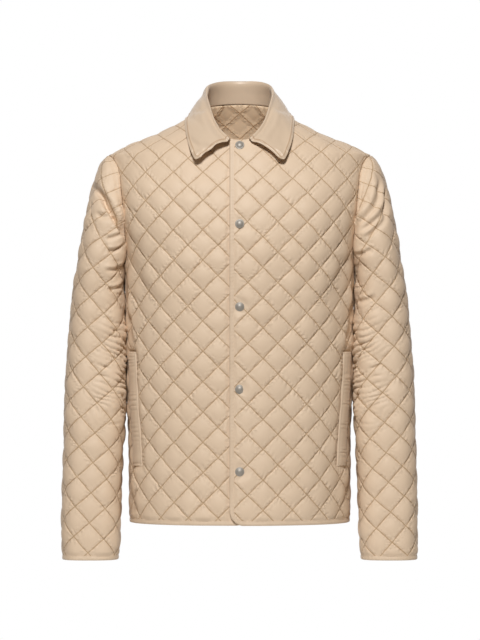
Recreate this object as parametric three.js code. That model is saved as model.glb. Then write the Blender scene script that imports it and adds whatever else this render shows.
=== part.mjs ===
// A men's diamond-quilted jacket as it hangs on a wearer, hollow: two fronts with a snap closure, a back,
// two sleeves, a plain folded collar, bound edges and two welt pockets. Millimetres, +Z up, the front faces -Y.
// The origin is on the wearer's neck axis at shoulder height. Every quilted panel is cut flat, in its own
// pattern of s (across) and t (up), and then laid on a body or sleeve surface that is built of level sections.
import * as THREE from 'three';

// Driving dimensions
const HEM_Z = -672;
const CUFF_Z = -732;
const UNDERARM_Z = -250;
const SHOULDER_TIP_Z = -69;
const SIDE_NECK_Z = 2;
const FRONT_NECK_Z = -49;
const BACK_NECK_Z = 20;
const NECK_HALF_WIDTH = 67;
const FRONT_OVERLAP = 16;
const CORNER_RADIUS = 24;
const WALL = 1.5;
const PUFF = 4;
const DIAGONAL = 49;
const SEAM_GAP = 0.4;
const BINDING = { width: 7, rise: 1.8, edge: 0.9 };
const ARMHOLE = { frontReach: 62, backReach: 66, roundness: 2.5, steps: 18 };
const FRONT_LIFT = { over: 4.2, under: -1.4, flatTo: 22, endsAt: 90 };
const CRUSHED_PUFF = 1.1;
const SNAP = { radius: 7.2, rise: 3, puff: 0.5, drops: [-58.5, -185.5, -318.5, -451.5, -584.5] };
const WELT = { fromSide: 54, slant: 10, width: 28, top: -392, bottom: -578, thick: 1.8 };
const COLLAR = { thick: 2, rolls: 3 };

const CLOTH = new THREE.MeshStandardMaterial({ color: 0xd2b897, roughness: 0.62, metalness: 0 });
const TAPE = new THREE.MeshStandardMaterial({ color: 0xcdb08c, roughness: 0.7, metalness: 0 });
const METAL = new THREE.MeshStandardMaterial({ color: 0xa9a39a, roughness: 0.35, metalness: 0.9 });

// Level sections of the body from the hem to the neck: half width, depth ahead of and behind the side seams,
// and the exponent that says how square the section is.
const BODY_SECTIONS = [
  { z: -672, halfWidth: 180.2, front: 135, back: 137, square: 2.35 },
  { z: -540, halfWidth: 180.5, front: 137, back: 134, square: 2.35 },
  { z: -465, halfWidth: 182.3, front: 138, back: 133, square: 2.35 },
  { z: -340, halfWidth: 184.5, front: 141, back: 139, square: 2.35 },
  { z: -250, halfWidth: 189.5, front: 143, back: 146, square: 2.4 },
  { z: -190, halfWidth: 198, front: 139, back: 148, square: 2.45 },
  { z: -130, halfWidth: 208, front: 126, back: 143, square: 2.35 },
  { z: -100, halfWidth: 213, front: 115, back: 136, square: 2.15 },
  { z: -69, halfWidth: 216.5, front: 104, back: 126, square: 1.9 },
  { z: -66, halfWidth: 210, front: 102.5, back: 125, square: 1.88 },
  { z: -54, halfWidth: 187, front: 97, back: 120, square: 1.82 },
  { z: -43.5, halfWidth: 160, front: 92, back: 115.5, square: 1.8 },
  { z: -32, halfWidth: 132, front: 86.5, back: 110, square: 1.8 },
  { z: -18, halfWidth: 104, front: 79.5, back: 102, square: 1.82 },
  { z: -8, halfWidth: 84, front: 74.5, back: 96, square: 1.9 },
  { z: 2, halfWidth: 67, front: 69.5, back: 89, square: 2 },
  { z: 8, halfWidth: 65, front: 67, back: 84.5, square: 2 },
  { z: 20, halfWidth: 61, front: 62, back: 76, square: 2 },
  { z: 34, halfWidth: 57, front: 58, back: 68, square: 2 },
];

// Level sections of the sleeve on the +X side: how far out it reaches, its middle in x and y, the half depth
// that it keeps where the armhole is shut, and its inner edge below the underarm.
const SLEEVE_SECTIONS = [
  { z: -732, outer: 290, middleX: 246, middleY: -30, halfDepth: 45, inner: 200 },
  { z: -640, outer: 290, middleX: 245, middleY: -27, halfDepth: 49, inner: 197 },
  { z: -550, outer: 287.5, middleX: 242, middleY: -22, halfDepth: 54, inner: 193.6 },
  { z: -466, outer: 285.5, middleX: 239, middleY: -14, halfDepth: 59, inner: 191.2 },
  { z: -405, outer: 282.5, middleX: 237, middleY: -8, halfDepth: 63, inner: 191.4 },
  { z: -339, outer: 277.5, middleX: 235, middleY: -2, halfDepth: 69, inner: 192.8 },
  { z: -289, outer: 272, middleX: 233, middleY: 2, halfDepth: 75, inner: 195.3 },
  { z: -262, outer: 267.5, middleX: 231, middleY: 3, halfDepth: 79, inner: 195.5 },
  { z: -250, outer: 265.5, middleX: 229, middleY: 3, halfDepth: 80, inner: 190.3 },
  { z: -220, outer: 261, middleX: 217, middleY: 3, halfDepth: 62, inner: 185 },
  { z: -190, outer: 255.5, middleX: 208, middleY: 2, halfDepth: 47, inner: 185 },
  { z: -160, outer: 250.5, middleX: 206, middleY: 2, halfDepth: 35, inner: 185 },
  { z: -130, outer: 244.5, middleX: 208, middleY: 1, halfDepth: 27, inner: 185 },
  { z: -112, outer: 240, middleX: 211, middleY: 1, halfDepth: 22, inner: 185 },
  { z: -100, outer: 236.3, middleX: 213, middleY: 0, halfDepth: 19, inner: 185 },
  { z: -89, outer: 232, middleX: 215, middleY: 0, halfDepth: 15, inner: 185 },
  { z: -80, outer: 227, middleX: 216.2, middleY: 0, halfDepth: 11, inner: 185 },
  { z: -73, outer: 221.6, middleX: 216.8, middleY: 0, halfDepth: 6, inner: 185 },
  { z: -69, outer: 217.8, middleX: 217, middleY: 0, halfDepth: 2, inner: 185 },
];
const SLEEVE_SQUARE = 2.15;

// Stations of the collar from its front end to the middle of the back, on the +X side: how far round the neckline
// it is sewn (0 front, 90 shoulder, 180 back), the gap left there, its fold, its outer edge, the fall's arch, and
// how far the fall stays clear of the body.
const COLLAR_STATIONS = [
  { turn: 14.5, gap: 4, fold: [15, -98, -42], edge: [70, -117, -84], arch: 5, clear: 9.5 },
  { turn: 34, gap: 3.5, fold: [27, -90.5, -31], edge: [78, -106, -72], arch: 2.5, clear: 9.5 },
  { turn: 54, gap: 2.5, fold: [39, -69, -14], edge: [85, -82, -50], arch: 1, clear: 8.5 },
  { turn: 76, gap: 1.2, fold: [47, -40, 12], edge: [87, -46, -23], arch: 0, clear: 7.5 },
  { turn: 90, gap: 0.6, fold: [52.5, 0, 36], edge: [86, -3, -5], arch: 0, clear: 6.4 },
  { turn: 116, gap: 0.5, fold: [46, 37, 51], edge: [81, 52, -5], arch: 0, clear: 6 },
  { turn: 150, gap: 0.5, fold: [27, 59, 57], edge: [48, 93, -2], arch: 0, clear: 6.5 },
  { turn: 180, gap: 0.5, fold: [0, 66, 58], edge: [0, 104, 0], arch: 0, clear: 6.5 },
];

// Where the quilting lines cross on each panel, measured from its own zero point
const QUILT_STARTS = {
  front_left: [12.5, 0.5],
  front_right: [10.6, -12.9],
  back: [0, 6],
  sleeve_left: [6, 12],
  sleeve_right: [4, 6],
};

// A smooth curve through one column of a table, with no overshoot between its rows
function track(rows, key) {
  const z = rows.map((row) => row.z);
  const v = rows.map((row) => row[key]);
  const chord = z.slice(1).map((next, i) => (v[i + 1] - v[i]) / (next - z[i]));
  const slope = z.map((_, i) => {
    const before = chord[Math.max(i - 1, 0)];
    const after = chord[Math.min(i, chord.length - 1)];
    return before * after <= 0 ? 0 : (2 * before * after) / (before + after);
  });
  return (at) => {
    if (at <= z[0]) return v[0] + slope[0] * (at - z[0]);
    const last = z.length - 1;
    if (at >= z[last]) return v[last] + slope[last] * (at - z[last]);
    const i = z.findIndex((level) => level > at) - 1;
    const span = z[i + 1] - z[i];
    const u = (at - z[i]) / span;
    const rise = u * u * (3 - 2 * u);
    const bendIn = u * (1 - u) ** 2 * span;
    const bendOut = -u * u * (1 - u) * span;
    return v[i] * (1 - rise) + v[i + 1] * rise + slope[i] * bendIn + slope[i + 1] * bendOut;
  };
}

const smoothStep = (low, high, x) => {
  const u = THREE.MathUtils.clamp((x - low) / (high - low), 0, 1);
  return u * u * (3 - 2 * u);
};

// A closed level section, built of four superelliptic quarters, with the length along it at each point
const QUARTER_STEPS = 44;
function sectionLoop(centre, quarters, square) {
  const points = [];
  for (const [from, to] of quarters) {
    for (let i = 0; i < QUARTER_STEPS; i++) {
      const angle = (i / QUARTER_STEPS) * (Math.PI / 2);
      const c = Math.cos(angle) ** (2 / square);
      const k = Math.sin(angle) ** (2 / square);
      points.push(new THREE.Vector2(centre[0] + from[0] * c + to[0] * k, centre[1] + from[1] * c + to[1] * k));
    }
  }
  points.push(points[0].clone());
  const along = [0];
  for (let i = 1; i < points.length; i++) along.push(along[i - 1] + points[i].distanceTo(points[i - 1]));
  return { points, along, length: along.at(-1), quarter: along[QUARTER_STEPS] };
}

function pointOnLoop(loop, s) {
  const at = THREE.MathUtils.euclideanModulo(s, loop.length);
  let low = 0;
  let high = loop.along.length - 1;
  while (high - low > 1) {
    const middle = (low + high) >> 1;
    if (loop.along[middle] <= at) low = middle;
    else high = middle;
  }
  const share = (at - loop.along[low]) / (loop.along[high] - loop.along[low] || 1);
  return loop.points[low].clone().lerp(loop.points[high], share);
}

// The length along a loop at which it passes nearest to a point, looking only between two of its point numbers
function lengthNearest(loop, x, y, first, last) {
  const target = new THREE.Vector2(x, y);
  let best = { far: Infinity, s: 0 };
  for (let i = first; i < last; i++) {
    const a = loop.points[i];
    const side = loop.points[i + 1].clone().sub(a);
    const u = THREE.MathUtils.clamp(target.clone().sub(a).dot(side) / (side.lengthSq() || 1), 0, 1);
    const far = a.clone().addScaledVector(side, u).distanceTo(target);
    if (far < best.far) best = { far, s: loop.along[i] + u * (loop.along[i + 1] - loop.along[i]) };
  }
  return best.s;
}

// A surface of level sections: a point by its length s along the section at height z, and its outward normal
function surfaceOf(loopAt) {
  const kept = new Map();
  const loop = (z) => {
    if (!kept.has(z)) kept.set(z, loopAt(z));
    return kept.get(z);
  };
  const point = (s, z) => {
    const p = pointOnLoop(loop(z), s);
    return new THREE.Vector3(p.x, p.y, z);
  };
  const normal = (s, z) => {
    const reach = 2;
    const across = point(s + reach, z).sub(point(s - reach, z));
    const up = point(s, z + reach / 2).sub(point(s, z - reach / 2));
    return across.cross(up).normalize();
  };
  return { loop, point, normal };
}

// Body
const bodyHalfWidth = track(BODY_SECTIONS, 'halfWidth');
const bodyFront = track(BODY_SECTIONS, 'front');
const bodyBack = track(BODY_SECTIONS, 'back');
const bodySquare = track(BODY_SECTIONS, 'square');

function bodyLoop(z, startBehind) {
  const a = bodyHalfWidth(z);
  const stops = [[0, -bodyFront(z)], [a, 0], [0, bodyBack(z)], [-a, 0]];
  const start = startBehind ? 2 : 0;
  const quarters = [0, 1, 2, 3].map((i) => [stops[(start + i) % 4], stops[(start + i + 1) % 4]]);
  return sectionLoop([0, 0], quarters, bodySquare(z));
}
const frontSurface = surfaceOf((z) => bodyLoop(z, false));
const backSurface = surfaceOf((z) => bodyLoop(z, true));

// A point of the body section at height z with a given x, as a length from the middle of the front or back
function bodyLengthAtX(surface, x, z) {
  const loop = surface.loop(z);
  let low = 0;
  let high = loop.quarter;
  for (let i = 0; i < 40; i++) {
    const middle = (low + high) / 2;
    if (Math.abs(pointOnLoop(loop, middle).x) < x) low = middle;
    else high = middle;
  }
  return low;
}

// The armhole is a rounded bite out of the side of the body, with its depth measured from the side line
const armholeMiddle = (UNDERARM_Z + SHOULDER_TIP_Z) / 2;
const armholeHalfHeight = (SHOULDER_TIP_Z - UNDERARM_Z) / 2;
function armholeBite(z, reach) {
  const u = Math.min(1, Math.abs((z - armholeMiddle) / armholeHalfHeight));
  return reach * (1 - u ** ARMHOLE.roundness) ** (1 / ARMHOLE.roundness);
}
const ARMHOLE_LEVELS = Array.from({ length: ARMHOLE.steps + 1 }, (_, i) => {
  const angle = (i / ARMHOLE.steps - 0.5) * Math.PI;
  const k = Math.sign(angle) * Math.abs(Math.sin(angle)) ** (2 / ARMHOLE.roundness);
  return armholeMiddle + armholeHalfHeight * k;
});
const armholeEdge = (surface, z, reach) => surface.loop(z).quarter - armholeBite(z, reach);

// Sleeve
const sleeveTracks = Object.fromEntries(
  ['outer', 'middleX', 'middleY', 'halfDepth', 'inner'].map((key) => [key, track(SLEEVE_SECTIONS, key)]),
);

function sleeveLoop(z) {
  const t = Object.fromEntries(Object.entries(sleeveTracks).map(([key, at]) => [key, at(z)]));
  const open = z > UNDERARM_Z && z < SHOULDER_TIP_Z;
  const side = (surface, reach) => {
    if (!open) return { depth: t.halfDepth, inner: t.middleX - t.inner };
    const seam = surface.point(armholeEdge(surface, z, reach), z);
    const seamX = Math.abs(seam.x);
    const seamY = Math.abs(seam.y - t.middleY);
    const depth = Math.hypot(seamY, t.halfDepth);
    const share = (1 - (seamY / depth) ** SLEEVE_SQUARE) ** (1 / SLEEVE_SQUARE);
    return { depth, inner: Math.max(t.middleX - seamX, 0.05) / Math.max(share, 0.02) };
  };
  const ahead = side(frontSurface, ARMHOLE.frontReach);
  const behind = side(backSurface, ARMHOLE.backReach);
  const out = [t.outer - t.middleX, 0];
  return sectionLoop([t.middleX, t.middleY], [
    [out, [0, behind.depth]],
    [[0, behind.depth], [-behind.inner, 0]],
    [[-ahead.inner, 0], [0, -ahead.depth]],
    [[0, -ahead.depth], out],
  ], SLEEVE_SQUARE);
}
const sleeveSurface = surfaceOf(sleeveLoop);

// The pattern of a surface: t is the length up the surface along each column of constant s
const COLUMN_STEP = 6;
const LEVEL_STEP = 3;
function patternOf(surface, width, bottom, top) {
  const levels = [];
  for (let z = bottom; z < top + LEVEL_STEP; z += LEVEL_STEP) levels.push(z);
  const columns = Math.ceil(width / COLUMN_STEP);
  const table = [];
  for (let c = -columns; c <= columns; c++) {
    const lengths = [0];
    for (let k = 1; k < levels.length; k++) {
      const step = surface.point(c * COLUMN_STEP, levels[k]).distanceTo(surface.point(c * COLUMN_STEP, levels[k - 1]));
      lengths.push(lengths[k - 1] + step);
    }
    table.push(lengths);
  }
  const columnAt = (s) => {
    const c = THREE.MathUtils.clamp(s / COLUMN_STEP + columns, 0, 2 * columns - 0.001);
    const low = Math.floor(c);
    return (k) => table[low][k] + (c - low) * (table[low + 1][k] - table[low][k]);
  };
  const tOf = (s, z) => {
    const k = THREE.MathUtils.clamp((z - bottom) / LEVEL_STEP, -1, levels.length - 1.001);
    const low = Math.max(0, Math.floor(k));
    const length = columnAt(s);
    return length(low) + (k - low) * (length(low + 1) - length(low));
  };
  const zOf = (s, t) => {
    const length = columnAt(s);
    let low = 0;
    let high = levels.length - 1;
    while (high - low > 1) {
      const middle = (low + high) >> 1;
      if (length(middle) <= t) low = middle;
      else high = middle;
    }
    return levels[low] + (LEVEL_STEP * (t - length(low))) / (length(high) - length(low));
  };
  // A point of the pattern in space, moved out from the surface
  const place = (s, t, out) => {
    const z = zOf(s, t);
    return surface.point(s, z).addScaledVector(surface.normal(s, z), out);
  };
  return { surface, tOf, zOf, place };
}

const frontPattern = patternOf(frontSurface, 300, HEM_Z, 40);
const backPattern = patternOf(backSurface, 300, HEM_Z, 40);
const sleevePattern = patternOf(sleeveSurface, 240, CUFF_Z, SHOULDER_TIP_Z);

// Near the middle the front that buttons over is lifted clear of the one beneath it, which sinks a little
const overlapShare = (s) => 1 - smoothStep(FRONT_LIFT.flatTo, FRONT_LIFT.endsAt, s);
const overLift = (s) => FRONT_LIFT.over * overlapShare(s);
const underLift = (s) => FRONT_LIFT.under * overlapShare(s);

// Outlines are lists of [s, z] on a surface, turned to [s, t] of its pattern. A point that lies on a seam also
// carries the seam's place in space, the way out through the cloth there, and the way to this piece's own side.
const range = (count, make) => Array.from({ length: count + 1 }, (_, i) => make(i / count));
const between = (a, b, share) => a + (b - a) * share;
function toPattern(pattern, points) {
  return points.map(([s, z, seam]) => {
    const p = new THREE.Vector2(s, pattern.tOf(s, z));
    p.seam = seam;
    return p;
  });
}
function seamLine(nodes, towards) {
  return nodes.map(({ point, out }, i) => {
    const along = nodes[Math.min(i + 1, nodes.length - 1)].point.clone().sub(nodes[Math.max(i - 1, 0)].point);
    const side = along.cross(out).normalize();
    if (side.dot(towards(point)) < 0) side.negate();
    return { point, out, side };
  });
}
const otherSide = ({ point, out, side }) => ({ point, out, side: side.clone().negate() });

function neckLevels(topZ, count) {
  return range(count, (u) => SIDE_NECK_Z + (topZ - SIDE_NECK_Z) * Math.sin((u * Math.PI) / 2));
}
function necklineAt(surface, z, endZ) {
  const rise = Math.min(1, Math.abs((z - SIDE_NECK_Z) / (endZ - SIDE_NECK_Z)));
  const x = NECK_HALF_WIDTH * Math.sqrt(1 - rise * rise);
  return rise === 0 ? surface.loop(z).quarter : bodyLengthAtX(surface, x, z);
}

// Seams down the side, round each half of the armhole, over the shoulder and along the inside of the sleeve.
// Their nodes are shared by the pieces that meet there.
const SIDE_LEVELS = range(11, (u) => between(HEM_Z + BINDING.width, UNDERARM_Z, u));
const SHOULDER_LEVELS = range(8, (u) => between(SHOULDER_TIP_Z, SIDE_NECK_Z, u));
const SLEEVE_LEVELS = range(16, (u) => between(CUFF_Z + BINDING.width, UNDERARM_Z, u));
const quarterNode = (z) => {
  const s = frontSurface.loop(z).quarter;
  return { point: frontSurface.point(s, z), out: frontSurface.normal(s, z) };
};
const backwards = () => new THREE.Vector3(0, 1, 0);
const sideSeam = seamLine(SIDE_LEVELS.map(quarterNode), backwards);
const shoulderSeam = seamLine(SHOULDER_LEVELS.map(quarterNode), backwards);
const insideNode = (z) => {
  const s = sleeveSurface.loop(z).along[2 * QUARTER_STEPS];
  return { point: sleeveSurface.point(s, z), out: sleeveSurface.normal(s, z) };
};
const insideSeam = seamLine(SLEEVE_LEVELS.map(insideNode), backwards);

function armholeSeam(ahead) {
  const surface = ahead ? frontSurface : backSurface;
  const reach = ahead ? ARMHOLE.frontReach : ARMHOLE.backReach;
  const nodes = ARMHOLE_LEVELS.slice(1, -1).map((z) => {
    const s = armholeEdge(surface, z, reach);
    const point = surface.point(s, z);
    point.x = Math.abs(point.x);
    const bodyOut = surface.normal(s, z);
    if (!ahead) bodyOut.x = Math.abs(bodyOut.x);
    const out = bodyOut.clone().add(sleeveSurface.normal(sleeveSeam(z, ahead), z)).normalize();
    return { point, out: out.divideScalar(Math.max(0.6, out.dot(bodyOut))) };
  });
  return seamLine(nodes, (point) => new THREE.Vector3(212, 0, armholeMiddle).sub(point));
}

// The side of a front or half a back, from the hem up the side seam, round the armhole and along the shoulder
function sideOutline(surface, reach, ahead) {
  const quarter = (z) => surface.loop(z).quarter;
  const own = (seam) => (ahead ? otherSide(seam) : seam);
  const armhole = armholeSeams[ahead ? 'front' : 'back'];
  return [
    ...SIDE_LEVELS.map((z, i) => [quarter(z), z, own(sideSeam[i])]),
    ...ARMHOLE_LEVELS.slice(1, -1).map((z, i) => [armholeEdge(surface, z, reach), z, otherSide(armhole[i])]),
    ...SHOULDER_LEVELS.map((z, i) => [quarter(z), z, own(shoulderSeam[i])]),
  ];
}

// The finished front edge and hem, from the neck down to the side seam, set in from the edge by a distance
function frontEdgePath(inset) {
  const edge = -FRONT_OVERLAP + inset;
  const radius = CORNER_RADIUS - inset;
  const top = frontPattern.tOf(edge, neckZAtFront(edge));
  const straight = range(15, (u) => new THREE.Vector2(edge, between(top, inset + radius, u)));
  const corner = range(6, (u) => {
    const angle = Math.PI + (u * Math.PI) / 2;
    return new THREE.Vector2(edge + radius + radius * Math.cos(angle), inset + radius + radius * Math.sin(angle));
  });
  const side = frontSurface.loop(HEM_Z + inset).quarter;
  const hem = range(16, (u) => new THREE.Vector2(between(edge + radius, side, u), inset));
  return [...straight, ...corner.slice(1), ...hem.slice(1)];
}
function neckZAtFront(s) {
  const x = Math.min(Math.abs(s), NECK_HALF_WIDTH - 1) / NECK_HALF_WIDTH;
  return SIDE_NECK_Z + (FRONT_NECK_Z - SIDE_NECK_Z) * Math.sqrt(1 - x * x);
}

function frontOutline() {
  const lowEdge = frontEdgePath(BINDING.width).reverse();
  const neck = neckLevels(FRONT_NECK_Z, 9).slice(1, -1).map((z) => [necklineAt(frontSurface, z, FRONT_NECK_Z), z]);
  const acrossMiddle = [8, 0].map((s) => [s, neckZAtFront(s)]);
  const side = sideOutline(frontSurface, ARMHOLE.frontReach, true);
  return [
    ...lowEdge.slice(1).reverse(),
    ...toPattern(frontPattern, side),
    ...toPattern(frontPattern, [...neck, ...acrossMiddle]),
  ];
}

const flip = (v) => new THREE.Vector3(-v.x, v.y, v.z);
const flipped = ({ point, out, side }) => ({ point: flip(point), out: flip(out), side: flip(side) });
function backOutline() {
  const half = sideOutline(backSurface, ARMHOLE.backReach, false);
  const neck = neckLevels(BACK_NECK_Z, 7).slice(1, -1).map((z) => [necklineAt(backSurface, z, BACK_NECK_Z), z]);
  const left = [...half, ...neck].map(([s, z, seam]) => [-s, z, seam]).reverse();
  const right = [...half, ...neck, [0, BACK_NECK_Z]].map(([s, z, seam]) => [s, z, seam && flipped(seam)]);
  const hemStart = half[0][0];
  const hem = range(20, (u) => between(-hemStart, hemStart, u)).slice(1, -1).map((s) => [s, HEM_Z + BINDING.width]);
  return toPattern(backPattern, [...hem, ...right, ...left]);
}

// The sleeve is cut with its one seam along the inside of the arm
function sleeveSeam(z, ahead) {
  const loop = sleeveSurface.loop(z);
  const surface = ahead ? frontSurface : backSurface;
  const reach = ahead ? ARMHOLE.frontReach : ARMHOLE.backReach;
  const seam = surface.point(armholeEdge(surface, z, reach), z);
  const [first, last] = ahead ? [2, 4] : [0, 2];
  const s = lengthNearest(loop, Math.abs(seam.x), seam.y, first * QUARTER_STEPS + ahead, last * QUARTER_STEPS);
  return ahead ? s - loop.length : s;
}
const armholeSeams = { front: armholeSeam(true), back: armholeSeam(false) };
function sleeveOutline() {
  const half = (z) => sleeveSurface.loop(z).along[2 * QUARTER_STEPS];
  const rest = (z) => half(z) - sleeveSurface.loop(z).length;
  const bottom = SLEEVE_LEVELS[0];
  const caps = ARMHOLE_LEVELS.slice(1, -1);
  const back = [
    ...SLEEVE_LEVELS.map((z, i) => [half(z), z, insideSeam[i]]),
    ...caps.map((z, i) => [sleeveSeam(z, false), z, armholeSeams.back[i]]),
  ];
  const front = [
    ...SLEEVE_LEVELS.map((z, i) => [rest(z), z, otherSide(insideSeam[i])]),
    ...caps.map((z, i) => [sleeveSeam(z, true), z, armholeSeams.front[i]]),
  ];
  const cuff = range(14, (u) => between(rest(bottom), half(bottom), u)).slice(1, -1).map((s) => [s, bottom]);
  return toPattern(sleevePattern, [...cuff, ...back, [0, SHOULDER_TIP_Z - 0.2], ...front.reverse()]);
}

const signedArea = (polygon) => THREE.ShapeUtils.area(polygon);

// An outline drawn in by a distance all round
function drawnIn(polygon, distance) {
  const turn = Math.sign(signedArea(polygon));
  const clean = polygon.filter((p, i) => p.distanceTo(polygon[(i + 1) % polygon.length]) > 0.05);
  return clean.map((p, i) => {
    const before = p.clone().sub(clean.at(i - 1)).normalize();
    const after = clean[(i + 1) % clean.length].clone().sub(p).normalize();
    const inward = (side) => new THREE.Vector2(-side.y, side.x).multiplyScalar(turn);
    const bisector = inward(before).add(inward(after)).normalize();
    const reach = distance / Math.max(0.5, bisector.dot(inward(before)));
    const moved = p.clone().addScaledVector(bisector, reach);
    moved.seam = p.seam;
    return moved;
  });
}

// The place in space of a pattern point that lies on a seam between two of its nodes, or nothing for another
function seamFinder(outline) {
  const edges = outline
    .map((p, i) => [p, outline[(i + 1) % outline.length]])
    .filter(([p, q]) => p.seam && q.seam);
  return (point) => {
    for (const [p, q] of edges) {
      const along = q.clone().sub(p);
      const u = THREE.MathUtils.clamp(point.clone().sub(p).dot(along) / along.lengthSq(), 0, 1);
      if (p.clone().addScaledVector(along, u).distanceTo(point) > 0.15) continue;
      const mix = (key) => p.seam[key].clone().lerp(q.seam[key], u);
      return { place: mix('point').addScaledVector(mix('side').normalize(), SEAM_GAP / 2), out: mix('out') };
    }
    return null;
  };
}

// Quilting lines run where s + t and s - t are whole numbers of diagonals. Each outline is cut along them.
// A cut keeps the side of one line and may leave more than one piece.
function cutAlong(polygon, key, limit, sign) {
  const inside = (p) => sign * (p[key] - limit) >= 0;
  const firstOut = polygon.findIndex((p) => !inside(p));
  if (firstOut < 0) return [polygon];
  const turned = [...polygon.slice(firstOut), ...polygon.slice(0, firstOut)];
  const chains = [];
  turned.forEach((p, i) => {
    const q = turned[(i + 1) % turned.length];
    if (inside(p)) chains.at(-1).push(p);
    if (inside(p) === inside(q)) return;
    const cut = p.clone().lerp(q, (limit - p[key]) / (q[key] - p[key]));
    cut[key] = limit;
    if (inside(q)) chains.push([cut]);
    else chains.at(-1).push(cut);
  });
  const other = key === 'x' ? 'y' : 'x';
  const ends = chains.flatMap((chain, i) => [
    { at: chain[0][other], chain: i, starts: true },
    { at: chain.at(-1)[other], chain: i, starts: false },
  ]);
  ends.sort((a, b) => a.at - b.at);
  const nextChain = (i) => ends[ends.findIndex((end) => end.chain === i && !end.starts) ^ 1].chain;
  const used = new Set();
  const pieces = [];
  chains.forEach((_, first) => {
    const piece = [];
    for (let i = first; !used.has(i); i = nextChain(i)) {
      used.add(i);
      piece.push(...chains[i]);
    }
    if (piece.length > 2) pieces.push(piece);
  });
  return pieces;
}
const cutBand = (polygon, key, low) =>
  cutAlong(polygon, key, low, 1).flatMap((piece) => cutAlong(piece, key, low + DIAGONAL, -1));
function snapped(value) {
  const line = Math.round(value / DIAGONAL) * DIAGONAL;
  return Math.abs(value - line) < 0.06 ? line : value;
}
function quiltCells(outline, [startS, startT]) {
  const slanted = outline.map(({ x, y }) => {
    const [s, t] = [x - startS, y - startT];
    return new THREE.Vector2(snapped(s + t), snapped(s - t));
  });
  const rangeOf = (list, key) => [
    Math.floor(Math.min(...list.map((p) => p[key])) / DIAGONAL),
    Math.ceil(Math.max(...list.map((p) => p[key])) / DIAGONAL),
  ];
  const cells = [];
  const [firstRow, lastRow] = rangeOf(slanted, 'x');
  for (let i = firstRow; i < lastRow; i++) {
    for (const row of cutBand(slanted, 'x', i * DIAGONAL)) {
      const [firstCell, lastCell] = rangeOf(row, 'y');
      for (let j = firstCell; j < lastCell; j++) {
        for (const cell of cutBand(row, 'y', j * DIAGONAL)) {
          const ring = cell
            .map(({ x, y }) => new THREE.Vector2((x + y) / 2 + startS, (x - y) / 2 + startT))
            .filter((p, k, all) => p.distanceTo(all[(k + 1) % all.length]) > 1e-3);
          if (ring.length < 3 || Math.abs(signedArea(ring)) < 0.02) continue;
          cells.push(signedArea(ring) < 0 ? ring.reverse() : ring);
        }
      }
    }
  }
  return cells;
}

// Collects the points and triangles of one closed solid
function makeSolid(name, material, mirrored) {
  const positions = [];
  const faces = [];
  return {
    add(point) {
      positions.push(mirrored ? -point.x : point.x, point.y, point.z);
      return positions.length / 3 - 1;
    },
    face(a, b, c) {
      if (a !== b && b !== c && a !== c) faces.push(...(mirrored ? [a, c, b] : [a, b, c]));
    },
    quad(a, b, c, d) {
      this.face(a, b, c);
      this.face(a, c, d);
    },
    mesh() {
      const geometry = new THREE.BufferGeometry();
      geometry.setAttribute('position', new THREE.Float32BufferAttribute(positions, 3));
      geometry.setIndex(faces);
      geometry.computeVertexNormals();
      const mesh = new THREE.Mesh(geometry, material);
      mesh.name = name;
      return mesh;
    },
  };
}

// Triangles of one cell: a four-sided one is split along the diagonal that runs more nearly up the cloth
function cellFaces(ring) {
  if (ring.length !== 4) return THREE.ShapeUtils.triangulateShape(ring, []);
  const lean = (i) => Math.abs(ring[i].x - ring[i + 2].x);
  return lean(0) < lean(1) ? [[0, 1, 2], [0, 2, 3]] : [[1, 2, 3], [1, 3, 0]];
}

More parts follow.
